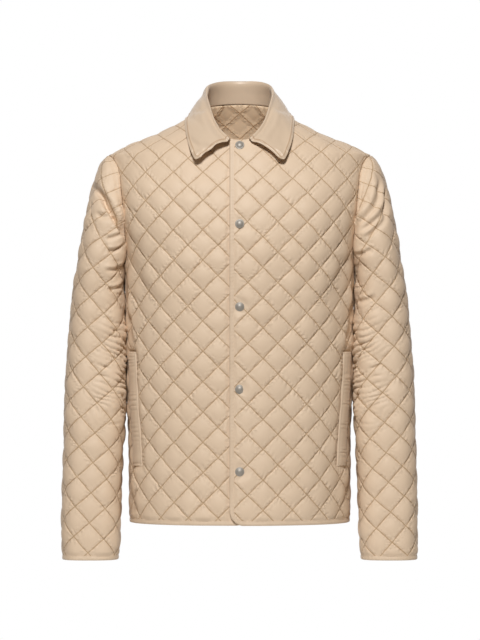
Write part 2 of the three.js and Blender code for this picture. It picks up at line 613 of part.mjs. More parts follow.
// A quilted panel: a thin wall with a plain inside and one pillow raised in each cell of its quilting
const PILLOW = { inset: 0.46, least: 0.12 };
function quiltedPanel(name, pattern, outline, { mirrored = false, lift = () => 0, puff = () => PUFF }) {
  const edge = drawnIn(outline, SEAM_GAP / 2);
  const cells = quiltCells(edge, QUILT_STARTS[name]);
  const onSeam = seamFinder(edge);
  const solid = makeSolid(name, CLOTH, mirrored);
  const known = new Map();
  const corner = (p) => {
    const key = `${Math.round(p.x * 500)},${Math.round(p.y * 500)}`;
    if (!known.has(key)) {
      const seam = onSeam(p);
      const place = (out) => (seam ? seam.place.clone().addScaledVector(seam.out, out) : pattern.place(p.x, p.y, out));
      known.set(key, { outer: solid.add(place(lift(p.x))), inner: solid.add(place(lift(p.x) - WALL)) });
    }
    return known.get(key);
  };
  const open = new Map();
  for (const ring of cells) {
    const corners = ring.map(corner);
    const share = Math.abs(signedArea(ring)) / (DIAGONAL * DIAGONAL * 0.5);
    const middle = ring.reduce((sum, p) => sum.add(p), new THREE.Vector2()).divideScalar(ring.length);
    const flat = cellFaces(ring);
    flat.forEach(([a, b, c]) => solid.face(corners[c].inner, corners[b].inner, corners[a].inner));
    const height = puff(middle.x, pattern.zOf(middle.x, middle.y)) * Math.sqrt(Math.min(1, share));
    const sees = ring.every((p, i) => signedArea([p, ring[(i + 1) % ring.length], middle]) > 1);
    if (share < PILLOW.least || height < 0.3 || !sees) {
      flat.forEach(([a, b, c]) => solid.face(corners[a].outer, corners[b].outer, corners[c].outer));
    } else {
      const whole = share > 0.98;
      const apex = whole || solid.add(pattern.place(middle.x, middle.y, lift(middle.x) + height));
      const top = ring.map((p) => {
        if (!whole) return apex;
        const q = p.clone().lerp(middle, PILLOW.inset);
        return solid.add(pattern.place(q.x, q.y, lift(q.x) + height));
      });
      ring.forEach((_, i) => {
        const next = (i + 1) % ring.length;
        solid.quad(corners[i].outer, corners[next].outer, top[next], top[i]);
      });
      flat.forEach(([a, b, c]) => solid.face(top[a], top[b], top[c]));
    }
    corners.forEach((a, i) => {
      const b = corners[(i + 1) % corners.length];
      const back = `${b.outer},${a.outer}`;
      if (open.has(back)) open.delete(back);
      else open.set(`${a.outer},${b.outer}`, [a, b]);
    });
  }
  for (const [a, b] of open.values()) solid.quad(b.outer, a.outer, a.inner, b.inner);
  return solid.mesh();
}

// A solid through a row of equal rings of points, with its two ends closed or joined to each other
function ringedSolid(name, material, rings, { joined = false, mirrored = false } = {}) {
  const solid = makeSolid(name, material, mirrored);
  const numbers = rings.map((ring) => ring.map((p) => solid.add(p)));
  const count = numbers[0].length;
  const pairs = joined ? numbers.length : numbers.length - 1;
  for (let r = 0; r < pairs; r++) {
    const [here, next] = [numbers[r], numbers[(r + 1) % numbers.length]];
    for (let i = 0; i < count; i++) {
      const j = (i + 1) % count;
      solid.quad(here[i], here[j], next[j], next[i]);
    }
  }
  if (!joined) {
    const cap = (ring, turned) => {
      for (let i = 1; i < Math.floor(count / 2); i++) {
        const [a, b, c, d] = [ring[i - 1], ring[i], ring[count - 1 - i], ring[count - i]];
        if (turned) solid.quad(a, b, c, d);
        else solid.quad(d, c, b, a);
      }
      if (count % 2) {
        const m = Math.floor(count / 2);
        if (turned) solid.face(ring[m - 1], ring[m], ring[m + 1]);
        else solid.face(ring[m + 1], ring[m], ring[m - 1]);
      }
    };
    cap(numbers[0], false);
    cap(numbers.at(-1), true);
  }
  return solid.mesh();
}

// Bound edge tape: a strip with a low crown that takes the place of the wall along an edge of a pattern
const CROWN = [[-1, BINDING.edge], [0, BINDING.rise], [1, BINDING.edge], [1, -WALL], [-1, -WALL]];
function bindingRings(pattern, path, lift, closed) {
  const half = BINDING.width / 2 - SEAM_GAP / 4;
  return path.map((p, i) => {
    const before = path[closed ? (i + path.length - 1) % path.length : Math.max(i - 1, 0)];
    const after = path[closed ? (i + 1) % path.length : Math.min(i + 1, path.length - 1)];
    const along = after.clone().sub(before).normalize();
    const side = new THREE.Vector2(along.y, -along.x);
    return CROWN.map(([k, out]) => {
      const q = p.clone().addScaledVector(side, k * half);
      return pattern.place(q.x, q.y, lift(q.x) + out);
    });
  });
}
const shifted = (path, ds, dt) => path.map((p) => new THREE.Vector2(p.x + ds, p.y + dt));

function frontBinding(name, mirrored, lift) {
  const path = frontEdgePath(BINDING.width / 2);
  const first = path[0];
  first.y -= SEAM_GAP;
  path.at(-1).x -= SEAM_GAP / 2;
  return ringedSolid(name, TAPE, bindingRings(frontPattern, shifted(path, 0, -SEAM_GAP / 4), lift, false), { mirrored });
}

function backBinding() {
  const end = backSurface.loop(HEM_Z + BINDING.width / 2).quarter - SEAM_GAP / 2;
  const path = range(28, (u) => new THREE.Vector2(between(-end, end, u), BINDING.width / 2 - SEAM_GAP / 4));
  return ringedSolid('hem_binding_back', TAPE, bindingRings(backPattern, path, () => 0, false));
}

function cuffBinding(name, mirrored) {
  const count = 30;
  const half = BINDING.width / 2 - SEAM_GAP / 2;
  const rings = range(count, (u) => u).slice(0, -1).map((u) =>
    CROWN.map(([k, out]) => {
      const z = CUFF_Z + BINDING.width / 2 - k * half;
      const s = u * sleeveSurface.loop(z).length;
      return sleeveSurface.point(s, z).addScaledVector(sleeveSurface.normal(s, z), out);
    }),
  );
  return ringedSolid(name, TAPE, rings, { joined: true, mirrored });
}

// Welt: a plain folded strip that lies on the front over its pocket slit, along the side seam
const weltSpan = (z) => {
  const rise = THREE.MathUtils.clamp((z - WELT.bottom) / (WELT.top - WELT.bottom), 0, 1);
  const outer = frontSurface.loop(z).quarter - WELT.fromSide + WELT.slant * rise;
  return [outer - WELT.width, outer];
};
function welt(name, mirrored) {
  const across = [[0, 0.6], [0.1, 1], [0.5, 1.15], [0.9, 1], [1, 0.6]];
  const lift = mirrored ? underLift : overLift;
  const rings = range(11, (u) => between(WELT.bottom, WELT.top, u)).map((z) => {
    const [low, high] = weltSpan(z);
    const place = (u, out) => {
      const s = between(low, high, u);
      return frontSurface.point(s, z).addScaledVector(frontSurface.normal(s, z), lift(s) + out);
    };
    const base = CRUSHED_PUFF + SEAM_GAP + 0.15;
    const under = [1, 0.5, 0].map((u) => place(u, base));
    const over = across.map(([u, share]) => place(u, base + WELT.thick * share));
    return [...over, ...under];
  });
  return ringedSolid(name, CLOTH, rings, { mirrored });
}

// Snap: a domed cap with a rolled rim and a ring struck in its top
function snapCap(number, z) {
  const { radius, rise } = SNAP;
  const profile = [[0, 0], [1, 0], [1, 0.45], [0.82, 0.88], [0.62, 0.78], [0, 1]];
  const outline = profile.map(([r, h]) => new THREE.Vector2(r * radius, h * rise));
  const cap = new THREE.Mesh(new THREE.LatheGeometry(outline, 16), METAL);
  const out = frontSurface.normal(0, z);
  cap.position.copy(frontSurface.point(0, z)).addScaledVector(out, overLift(0) + SNAP.puff + 0.2);
  cap.quaternion.setFromUnitVectors(new THREE.Vector3(0, 1, 0), out);
  cap.name = `snap_cap_${number}`;
  return cap;
}

// The collar is one folded piece: a stand that rises from the neckline, a roll, and a fall that lies outside
const catmull = (values) => (u) => new THREE.CatmullRomCurve3(values, false, 'centripetal').getPoint(u);
function bodySide(p) {
  const [a, square] = [bodyHalfWidth(p.z), bodySquare(p.z)];
  const depth = p.y < 0 ? bodyFront(p.z) : bodyBack(p.z);
  return (Math.abs(p.x) / a) ** square + (Math.abs(p.y) / depth) ** square - 1;
}
// Moves a point out until it lies at least the clearance away from the body surface
function heldClear(point, clearance) {
  const p = point.clone();
  for (let round = 0; round < 6; round++) {
    const here = bodySide(p);
    const step = 0.5;
    const slope = new THREE.Vector3(
      bodySide(p.clone().setX(p.x + step)) - here,
      bodySide(p.clone().setY(p.y + step)) - here,
      bodySide(p.clone().setZ(p.z + step)) - here,
    ).divideScalar(step);
    const away = here / slope.length();
    if (away < clearance) p.addScaledVector(slope.normalize(), clearance - away);
  }
  return p;
}
function necklinePoint(turn) {
  const round = THREE.MathUtils.degToRad(turn);
  const behind = Math.cos(round) < 0;
  const surface = behind ? backSurface : frontSurface;
  const z = SIDE_NECK_Z + ((behind ? BACK_NECK_Z : FRONT_NECK_Z) - SIDE_NECK_Z) * Math.abs(Math.cos(round));
  const side = Math.sin(round) > 0.9999;
  const s = side ? surface.loop(z).quarter : bodyLengthAtX(surface, NECK_HALF_WIDTH * Math.abs(Math.sin(round)), z);
  const point = surface.point(s, z).addScaledVector(surface.normal(s, z), -WALL / 2);
  return point.setX(Math.abs(point.x) * Math.sign(Math.sin(round) + 1e-9));
}
function collar() {
  const otherHalf = COLLAR_STATIONS.slice(0, -1).reverse().map(({ turn, fold, edge, ...rest }) => {
    return { ...rest, turn: 360 - turn, fold: [-fold[0], fold[1], fold[2]], edge: [-edge[0], edge[1], edge[2]] };
  });
  const all = [...COLLAR_STATIONS, ...otherHalf];
  const curves = {
    fold: catmull(all.map((station) => new THREE.Vector3(...station.fold))),
    edge: catmull(all.map((station) => new THREE.Vector3(...station.edge))),
    turn: catmull(all.map(({ turn, gap, arch }) => new THREE.Vector3(turn, gap, arch))),
    clear: catmull(all.map(({ turn, clear }) => new THREE.Vector3(turn, clear, 0))),
  };
  const count = (all.length - 1) * COLLAR.rolls;
  const middles = range(count, (u) => {
    const { x: turn, y: gap, z: arch } = curves.turn(u);
    const clearance = curves.clear(u).y;
    const [neck, fold, edge] = [necklinePoint(turn), curves.fold(u), curves.edge(u)];
    const away = edge.clone().sub(fold).setZ(0).normalize();
    const rise = fold.clone().sub(neck);
    const stand = Math.max(rise.length(), 1);
    const base = neck.clone().addScaledVector(rise, Math.min(0.45, (COLLAR.thick / 2 + gap) / stand));
    const roll = Math.min(4.5, stand * 0.3);
    const underFold = fold.clone().addScaledVector(rise.clone().normalize(), -roll);
    const overFold = fold.clone().addScaledVector(away, roll * 1.25).add(new THREE.Vector3(0, 0, -roll));
    const topOfFold = fold.clone().addScaledVector(away, roll * 0.6);
    const fall = (share) => {
      const p = overFold.clone().lerp(edge, share);
      const bow = Math.sin(share * Math.PI);
      p.addScaledVector(away, bow * 2).add(new THREE.Vector3(0, 0, bow * arch));
      return heldClear(p, clearance);
    };
    return [base, base.clone().lerp(underFold, 0.5), underFold, topOfFold, overFold, fall(0.33), fall(0.67), fall(1)];
  });
  const rings = middles.map((row, r) => {
    const normals = row.map((_, i) => {
      const along = row[Math.min(i + 1, row.length - 1)].clone().sub(row[Math.max(i - 1, 0)]);
      const ahead = middles[Math.min(r + 1, count)][i].clone().sub(middles[Math.max(r - 1, 0)][i]);
      return along.cross(ahead).normalize();
    });
    const side = (k) => row.map((p, i) => p.clone().addScaledVector(normals[i], (k * COLLAR.thick) / 2));
    return [...side(1), ...side(-1).reverse()];
  });
  return ringedSolid('collar', CLOTH, rings);
}

// Where the quilting is pressed flat: under snaps and welts, in the underlap and deep in the underarm
const nearSnap = (s, z) => SNAP.drops.some((drop) => Math.hypot(s, z - drop) < DIAGONAL * 0.56);
const nearWelt = (s, z) => {
  const [low, high] = weltSpan(z);
  const reach = DIAGONAL / 2;
  return s > low - reach && s < high + reach && z > WELT.bottom - reach && z < WELT.top + reach;
};
const underarmEase = (z, fromArmhole) => {
  const depth = smoothStep(-150, -215, z) * smoothStep(UNDERARM_Z - 60, UNDERARM_Z - 20, z);
  return 1 - depth * (1 - smoothStep(8, 45, fromArmhole));
};
const neckEase = (surface, s, z) => {
  const p = surface.point(s, z);
  return between(0.1, 1, smoothStep(80, 105, Math.hypot(p.x, p.y + z / 3)));
};
const fromArmhole = (surface, reach, s, z) => {
  const bottom = Math.max(z, UNDERARM_Z);
  return Math.hypot(Math.max(0, armholeEdge(surface, bottom, reach) - s), bottom - z);
};

function frontPuff(onTop) {
  return (s, z) => {
    if (onTop && nearSnap(s, z)) return SNAP.puff;
    const crushed = nearWelt(s, z) || (!onTop && s < FRONT_OVERLAP + DIAGONAL / 2);
    const ease = underarmEase(z, fromArmhole(frontSurface, ARMHOLE.frontReach, s, z));
    return (crushed ? CRUSHED_PUFF : PUFF) * ease * neckEase(frontSurface, s, z);
  };
}
function backPuff(s, z) {
  const ease = underarmEase(z, fromArmhole(backSurface, ARMHOLE.backReach, Math.abs(s), z));
  return PUFF * ease * neckEase(backSurface, s, z);
}
function sleevePuff(s, z) {
  const fromSeam = sleeveSurface.loop(z).along[2 * QUARTER_STEPS] - Math.abs(s);
  const cap = smoothStep(0, 14, SHOULDER_TIP_Z - z);
  return PUFF * underarmEase(z, Math.max(0, fromSeam)) * cap;
}

const jacket = new THREE.Group();
const front = frontOutline();
const sleeve = sleeveOutline();
jacket.add(
  quiltedPanel('front_left', frontPattern, front, { lift: overLift, puff: frontPuff(true) }),
  quiltedPanel('front_right', frontPattern, front, { mirrored: true, lift: underLift, puff: frontPuff(false) }),
  quiltedPanel('back', backPattern, backOutline(), { puff: backPuff }),
  quiltedPanel('sleeve_left', sleevePattern, sleeve, { puff: sleevePuff }),
  quiltedPanel('sleeve_right', sleevePattern, sleeve, { mirrored: true, puff: sleevePuff }),
  frontBinding('edge_binding_left', false, overLift),
  frontBinding('edge_binding_right', true, underLift),
  backBinding(),
  cuffBinding('cuff_binding_left', false),
  cuffBinding('cuff_binding_right', true),
  welt('pocket_welt_left', false),
  welt('pocket_welt_right', true),
  collar(),
  ...SNAP.drops.map((z, i) => snapCap(i + 1, z)),
);

export default jacket;
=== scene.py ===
# A men's diamond-quilted jacket, filled out as if worn, with a plain collar, snaps, bound edges and pockets
import math

import bmesh
import bpy
import numpy as np
from mathutils import Matrix, Vector, geometry, kdtree


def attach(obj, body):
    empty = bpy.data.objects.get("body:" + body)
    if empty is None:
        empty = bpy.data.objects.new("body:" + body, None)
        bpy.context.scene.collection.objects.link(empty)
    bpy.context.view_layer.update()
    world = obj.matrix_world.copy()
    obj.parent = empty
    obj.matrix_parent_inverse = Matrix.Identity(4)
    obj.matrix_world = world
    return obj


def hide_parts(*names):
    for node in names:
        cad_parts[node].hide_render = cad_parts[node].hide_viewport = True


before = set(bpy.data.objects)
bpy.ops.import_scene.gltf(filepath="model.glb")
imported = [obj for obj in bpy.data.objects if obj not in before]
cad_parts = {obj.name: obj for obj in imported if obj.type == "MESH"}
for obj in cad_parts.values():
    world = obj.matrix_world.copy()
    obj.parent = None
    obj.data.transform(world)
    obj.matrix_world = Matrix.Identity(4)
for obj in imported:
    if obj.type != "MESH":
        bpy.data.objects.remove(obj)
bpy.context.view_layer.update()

MM = 0.001


# Camera
# The photograph is taken level with the jacket's middle, from far enough away that it shows almost no taper.
PIXEL = 1.65 * MM
PHOTO_ROWS = 640
CAMERA_AWAY = 6.0


def placed(name, data):
    """A new object in the scene"""
    thing = bpy.data.objects.new(name, data)
    bpy.context.scene.collection.objects.link(thing)
    return thing


camera = placed("camera", bpy.data.cameras.new("camera"))
camera.data.sensor_width = 36
camera.data.lens = 36 * CAMERA_AWAY / (PHOTO_ROWS * PIXEL)
camera.data.clip_end = 50
camera.location = (0.3 * PIXEL, -CAMERA_AWAY, -0.340)
camera.rotation_euler = (math.radians(90), 0, 0)
bpy.context.scene.camera = camera


# Body of the jacket, as worn
# The fronts and the back are cut flat and take their form from a wearer's trunk. The form is a stack of
# level sections. A place on it is found by its length across (s) and its length up from the hem (t), in mm.
HEM_Z = -672
UNDERARM_Z = -250
SHOULDER_TIP_Z = -69
SIDE_NECK_Z = 2
FRONT_NECK_Z = -49
BACK_NECK_Z = 20
NECK_HALF_WIDTH = 67
ARMHOLE_FRONT = 62
ARMHOLE_BACK = 66
ARMHOLE_ROUNDNESS = 2.5

# Height, half width, depth in front, depth behind, and how square the section is
BODY_SECTIONS = (
    (-672, 180.2, 135, 137, 2.35),
    (-540, 181, 137, 134, 2.35),
    (-465, 184.2, 138, 133, 2.35),
    (-340, 186.3, 141, 139, 2.35),
    (-250, 189.5, 143, 146, 2.4),
    (-190, 198, 139, 148, 2.45),
    (-130, 208, 126, 143, 2.35),
    (-100, 213, 115, 136, 2.15),
    (-69, 216.5, 104, 126, 1.9),
    (-66, 210, 102.5, 125, 1.88),
    (-54, 187, 97, 120, 1.82),
    (-43.5, 160, 92, 115.5, 1.8),
    (-32, 132, 86.5, 110, 1.8),
    (-18, 104, 79.5, 102, 1.82),
    (-8, 84, 74.5, 96, 1.9),
    (2, 67, 69.5, 89, 2),
    (8, 65, 67, 84.5, 2),
    (20, 61, 62, 76, 2),
    (34, 57, 58, 68, 2),
)


def smooth_column(rows, column):
    """A curve through one column of a table of heights, with no overshoot between its rows"""
    z = np.array([row[0] for row in rows], float)
    v = np.array([row[column] for row in rows], float)
    chord = np.diff(v) / np.diff(z)
    before, after = np.concatenate([chord[:1], chord]), np.concatenate([chord, chord[-1:]])
    agrees = before * after > 0
    slope = np.where(agrees, 2 * before * after / np.where(agrees, before + after, 1), 0)

    def at(height):
        held = np.clip(height, z[0], z[-1])
        i = np.clip(np.searchsorted(z, held, side="right") - 1, 0, len(z) - 2)
        span = z[i + 1] - z[i]
        u = (held - z[i]) / span
        rise = u * u * (3 - 2 * u)
        bend = slope[i] * u * (1 - u) ** 2 - slope[i + 1] * u * u * (1 - u)
        past = np.where(height < z[0], slope[0], slope[-1]) * (height - held)
        return v[i] * (1 - rise) + v[i + 1] * rise + bend * span + past

    return at


def run_of(line):
    """How far along a line each of its points lies"""
    return np.concatenate([[0], np.cumsum(np.linalg.norm(np.diff(line, axis=0), axis=1))])


def rounded_section(centre, quarters, square, steps=260):
    """A closed level section of four superelliptic quarters"""
    angle = np.linspace(0, math.pi / 2, steps, endpoint=False)
    c, k = np.cos(angle) ** (2 / square), np.sin(angle) ** (2 / square)
    rows = [np.array(centre) + np.outer(c, start) + np.outer(k, end) for start, end in quarters]
    return np.vstack(rows + [rows[0][:1]])


class WornForm:
    """A form of level sections, where a place is found by its length across and its length up"""

    ACROSS, RISE = 1.0, 2.0

    def __init__(self, section, reach, bottom, top):
        self.bottom = bottom
        self.s = np.arange(-reach, reach + self.ACROSS, self.ACROSS)
        self.z = np.arange(bottom, top + self.RISE, self.RISE)
        self.places = np.zeros((len(self.z), len(self.s), 3))
        self.quarters, self.halves, self.lengths = [], [], []
        for row, z in enumerate(self.z):
            loop = section(z)
            along = run_of(loop)
            at = np.mod(self.s, along[-1])
            self.places[row, :, 0] = np.interp(at, along, loop[:, 0])
            self.places[row, :, 1] = np.interp(at, along, loop[:, 1])
            self.places[row, :, 2] = z
            self.quarters.append(along[len(loop) // 4])
            self.halves.append(along[len(loop) // 2])
            self.lengths.append(along[-1])
        rises = np.linalg.norm(np.diff(self.places, axis=0), axis=2)
        self.up = np.vstack([np.zeros(len(self.s)), np.cumsum(rises, axis=0)])

    def quarter(self, z):
        return np.interp(z, self.z, self.quarters)

    def half(self, z):
        return np.interp(z, self.z, self.halves)

    def length(self, z):
        return np.interp(z, self.z, self.lengths)

    def _blend(self, table, s, z):
        i = np.clip((z - self.bottom) / self.RISE, 0, len(self.z) - 1.001)
        j = np.clip((s - self.s[0]) / self.ACROSS, 0, len(self.s) - 1.001)
        i0, j0 = i.astype(int), j.astype(int)
        u, v = i - i0, j - j0
        if table.ndim == 3:
            u, v = u[:, None], v[:, None]
        low = table[i0, j0] * (1 - v) + table[i0, j0 + 1] * v
        high = table[i0 + 1, j0] * (1 - v) + table[i0 + 1, j0 + 1] * v
        return low * (1 - u) + high * u

    def point(self, s, z):
        return self._blend(self.places, np.atleast_1d(s).astype(float), np.atleast_1d(z).astype(float))

    def way_out(self, s, z):
        across = self.point(s + 1.5, z) - self.point(s - 1.5, z)
        up = self.point(s, z + 2) - self.point(s, z - 2)
        out = np.cross(across, up)
        return out / np.linalg.norm(out, axis=1)[:, None]

    def length_up(self, s, z):
        return self._blend(self.up, np.atleast_1d(s).astype(float), np.atleast_1d(z).astype(float))

    def height(self, s, t):
        low, high = np.full(len(s), self.z[0]), np.full(len(s), self.z[-1])
        for _ in range(18):
            middle = (low + high) / 2
            below = self.length_up(s, middle) <= t
            low, high = np.where(below, middle, low), np.where(below, high, middle)
        return (low + high) / 2


body_half_width, body_front, body_back, body_square = (smooth_column(BODY_SECTIONS, k) for k in (1, 2, 3, 4))


def body_section(z, behind=False):
    a, ahead, back = float(body_half_width(z)), float(body_front(z)), float(body_back(z))
    stops = [(0, -ahead), (a, 0), (0, back), (-a, 0)]
    stops = stops[2:] + stops[:2] if behind else stops
    return rounded_section((0, 0), [(stops[i], stops[(i + 1) % 4]) for i in range(4)], float(body_square(z)))


front_form = WornForm(lambda z: body_section(z), 330, HEM_Z, 40)
back_form = WornForm(lambda z: body_section(z, True), 330, HEM_Z, 40)


def armhole_bite(z, reach):
    middle, half = (UNDERARM_Z + SHOULDER_TIP_Z) / 2, (SHOULDER_TIP_Z - UNDERARM_Z) / 2
    u = np.clip(np.abs((z - middle) / half), 0, 1)
    return reach * (1 - u**ARMHOLE_ROUNDNESS) ** (1 / ARMHOLE_ROUNDNESS)


def armhole_levels(count):
    k = np.sin((np.arange(1, count) / count - 0.5) * math.pi)
    share = np.sign(k) * np.abs(k) ** (2 / ARMHOLE_ROUNDNESS)
    return (UNDERARM_Z + SHOULDER_TIP_Z) / 2 + (SHOULDER_TIP_Z - UNDERARM_Z) / 2 * share


def armhole_edge(form, z, reach):
    return form.quarter(z) - armhole_bite(z, reach)


def length_at_x(form, x, z):
    """How far round the form from its middle a half width x is reached"""
    low, high = 0.0, float(form.quarter(z))
    for _ in range(30):
        middle = (low + high) / 2
        if abs(form.point(middle, z)[0, 0]) < x:
            low = middle
        else:
            high = middle
    return low


def side_edge(form, reach):
    """Up the side seam, round half of the armhole and along the shoulder, as rows of s and z"""
    side = [(float(form.quarter(z)), z) for z in np.linspace(HEM_Z, UNDERARM_Z, 60)]
    armhole = [(float(armhole_edge(form, z, reach)), z) for z in armhole_levels(90)]
    shoulder = [(float(form.quarter(z)), z) for z in np.linspace(SHOULDER_TIP_Z, SIDE_NECK_Z, 40)]
    return side + armhole + shoulder


def neck_edge(form, lowest, count=30):
    """Round a quarter of the neckline, from the shoulder to the middle"""
    rows = []
    for u in np.arange(1, count) / count:
        z = SIDE_NECK_Z + (lowest - SIDE_NECK_Z) * math.sin(u * math.pi / 2)
        rows.append((length_at_x(form, NECK_HALF_WIDTH * math.cos(u * math.pi / 2), z), z))
    return rows


def to_pattern(form, rows):
    s, z = (np.array(v, float) for v in zip(*rows))
    return np.column_stack([s, form.length_up(s, z)])


# Quilted cloth
# A smooth polyester shell and a plain lining are stitched together over thin wadding, along two sets of
# slanting lines, before the panels are cut from it. Between the lines it puffs up, and it puckers beside
# the thread.
DIAGONAL = 49.0
PUFF = 5.4
LINING_PUFF = 2.2
CLOTH_THICK = 1.5
SEAM_ROUND = 6.0
LINING_DIVISIONS = 7
PANEL_INSET = 1.2
LINE_WANDER = 0.014
PUCKER_SPACING = 6.8
DIAMOND_CHANGE = 0.22
LINING_SINK = 0.7


def smooth_step(low, high, x):
    u = np.clip((x - low) / (high - low), 0, 1)
    return u * u * (3 - 2 * u)


def bell(x, width):
    """A rounded ridge of height 1 along 0, which has faded away at twice its width"""
    return np.exp(-((x / width) ** 2))


def far_from_edge(points, edge):
    """How far each point is from a closed outline"""
    after = np.roll(edge, -1, axis=0)
    counts = np.ceil(np.linalg.norm(after - edge, axis=1) / 0.5).astype(int) + 1
    close = np.vstack([a + (b - a) * np.arange(n)[:, None] / n for a, b, n in zip(edge, after, counts)])
    tree = kdtree.KDTree(len(close))
    for i, (x, y) in enumerate(close):
        tree.insert((x, y, 0), i)
    tree.balance()
    return np.array([tree.find((x, y, 0))[2] for x, y in points])


def is_inside(points, edge):
    """Whether each point lies inside a closed outline"""
    a, b = edge, np.roll(edge, -1, axis=0)
    slope = (b[:, 0] - a[:, 0]) / np.where(np.abs(b[:, 1] - a[:, 1]) < 1e-9, 1e-9, b[:, 1] - a[:, 1])
    found = []
    for part in np.array_split(points, max(1, len(points) // 4000)):
        x, y = part[:, :1], part[:, 1:]
        crosses = (a[:, 1] > y) != (b[:, 1] > y)
        found.append((crosses & (x < a[:, 0] + slope * (y - a[:, 1]))).sum(1) % 2 == 1)
    return np.concatenate(found)


def uneven(x, y, grain, seed):
    """A smooth uneven field from -1 to 1, with patches of about the size of the grain"""
    table = np.random.default_rng(seed).uniform(-1, 1, (97, 97))
    x, y = np.mod(x / grain, 96) % 96, np.mod(y / grain, 96) % 96
    i, j = x.astype(int), y.astype(int)
    u, v = x - i, y - j
    u, v = u * u * (3 - 2 * u), v * v * (3 - 2 * v)
    low = table[i, j] * (1 - v) + table[i, j + 1] * v
    high = table[i + 1, j] * (1 - v) + table[i + 1, j + 1] * v
    return low * (1 - u) + high * u


def quilt_marks(divisions):
    """Where the mesh lines fall within one diamond, a little closer together beside the stitching"""
    u = np.arange(divisions) / divisions
    return u - 0.3 * np.sin(2 * math.pi * u) / (2 * math.pi)


def along_quilting(flat, lattice):
    """Places of the flat cloth counted in diamonds, so that a whole number is a line of stitching"""
    c, k = math.cos(math.radians(lattice[2])), math.sin(math.radians(lattice[2]))
    level = (flat - np.array(lattice[:2])) @ np.array([[c, -k], [k, c]])
    return level @ np.array([[1, 1], [1, -1]]) / DIAGONAL


def drawn(flat, lattice, seed):
    """The same, with the small wander that the thread and the puckers give every line"""
    x, y = flat[:, 0], flat[:, 1]
    wander = [uneven(x, y, 10, seed + n) + 0.8 * uneven(x, y, 23, seed + 2 + n) for n in (50, 51)]
    return along_quilting(flat, lattice) + LINE_WANDER * np.column_stack(wander)


def across_quilting(counts, lattice):
    """The same, the other way round"""
    c, k = math.cos(math.radians(lattice[2])), math.sin(math.radians(lattice[2]))
    level = counts @ np.array([[1, 1], [1, -1]]) * DIAGONAL / 2
    return level @ np.array([[c, k], [-k, c]]) + np.array(lattice[:2])


def cut_cloth(edge, lattice, divisions):
    """Flat cloth cut to an outline, with the lines of its mesh along the quilting and its outline first"""
    marks = quilt_marks(divisions)
    counts = along_quilting(edge, lattice)
    reach = [(math.floor(v.min()), math.ceil(v.max()) + 1) for v in counts.T]
    grid = np.meshgrid(*(np.concatenate([k + marks for k in range(*ends)]) for ends in reach), indexing="ij")
    points = across_quilting(np.column_stack([g.ravel() for g in grid]), lattice)
    points = points[is_inside(points, edge)]
    points = np.vstack([edge, points[far_from_edge(points, edge) > 0.8]])
    made = geometry.delaunay_2d_cdt([Vector(p) for p in points], [], [list(range(len(edge)))], 1, 1e-6)
    order = np.array([found[0] for found in made[3]])
    back = np.zeros(len(points), int)
    back[order] = np.arange(len(order))
    faces = order[np.array(made[2])]
    return points, faces


def pillow(u):
    """The rise of the cloth between two stitching lines"""
    return (1 - np.abs(2 * np.mod(u, 1) - 1) ** 2.4) ** 0.78


def puckers(a, b, seed):
    """Short creases that run away from each stitching line, as a rise in mm"""
    rise = np.zeros(len(a))
    for n, (u, v) in enumerate(((a, b), (b, a))):
        line = np.round(u)
        side = (u - line) * DIAGONAL / math.sqrt(2)
        away = np.abs(side)
        along = v * DIAGONAL / math.sqrt(2) + 0.35 * side
        drift = uneven(along, line * 37.7 + np.sign(side) * 9.1, 15, seed + n) * 4.4
        patches = uneven(along, line * 53.1 + np.sign(side) * 17, 19, seed + 10 + n)
        strength = np.clip(0.6 + 2.3 * patches, 0, 2.6)
        crease = bell(np.sin(along * math.pi / PUCKER_SPACING + drift + line * 2.1), 0.42)
        reach = 4.6 + 2.4 * uneven(along, line * 11.3, 9, seed + 20 + n)
        rise -= (crease - 0.35) * strength * bell(away - 2.6, reach) * np.clip(away / 0.9, 0, 1)
    return rise


def creases(s, z, rows):
    """Larger folds of the worn cloth, each from one place to another, with a width and a depth in mm"""
    rise = np.zeros(len(s))
    for s0, z0, s1, z1, width, depth in rows:
        along = np.array([s1 - s0, z1 - z0], float)
        length = np.linalg.norm(along)
        along /= length
        gap = np.column_stack([s - s0, z - z0])
        at = gap @ along / length
        bow = 0.06 * length * np.sin(at * math.pi * 1.3)
        side = (gap @ np.array([-along[1], along[0]]) - bow) / width
        fade = smooth_step(0, 0.22, at) * smooth_step(0, 0.18, 1 - at)
        rise += fade * depth * (0.6 * bell(side + 1.5, 1) - bell(side, 1))
    return rise


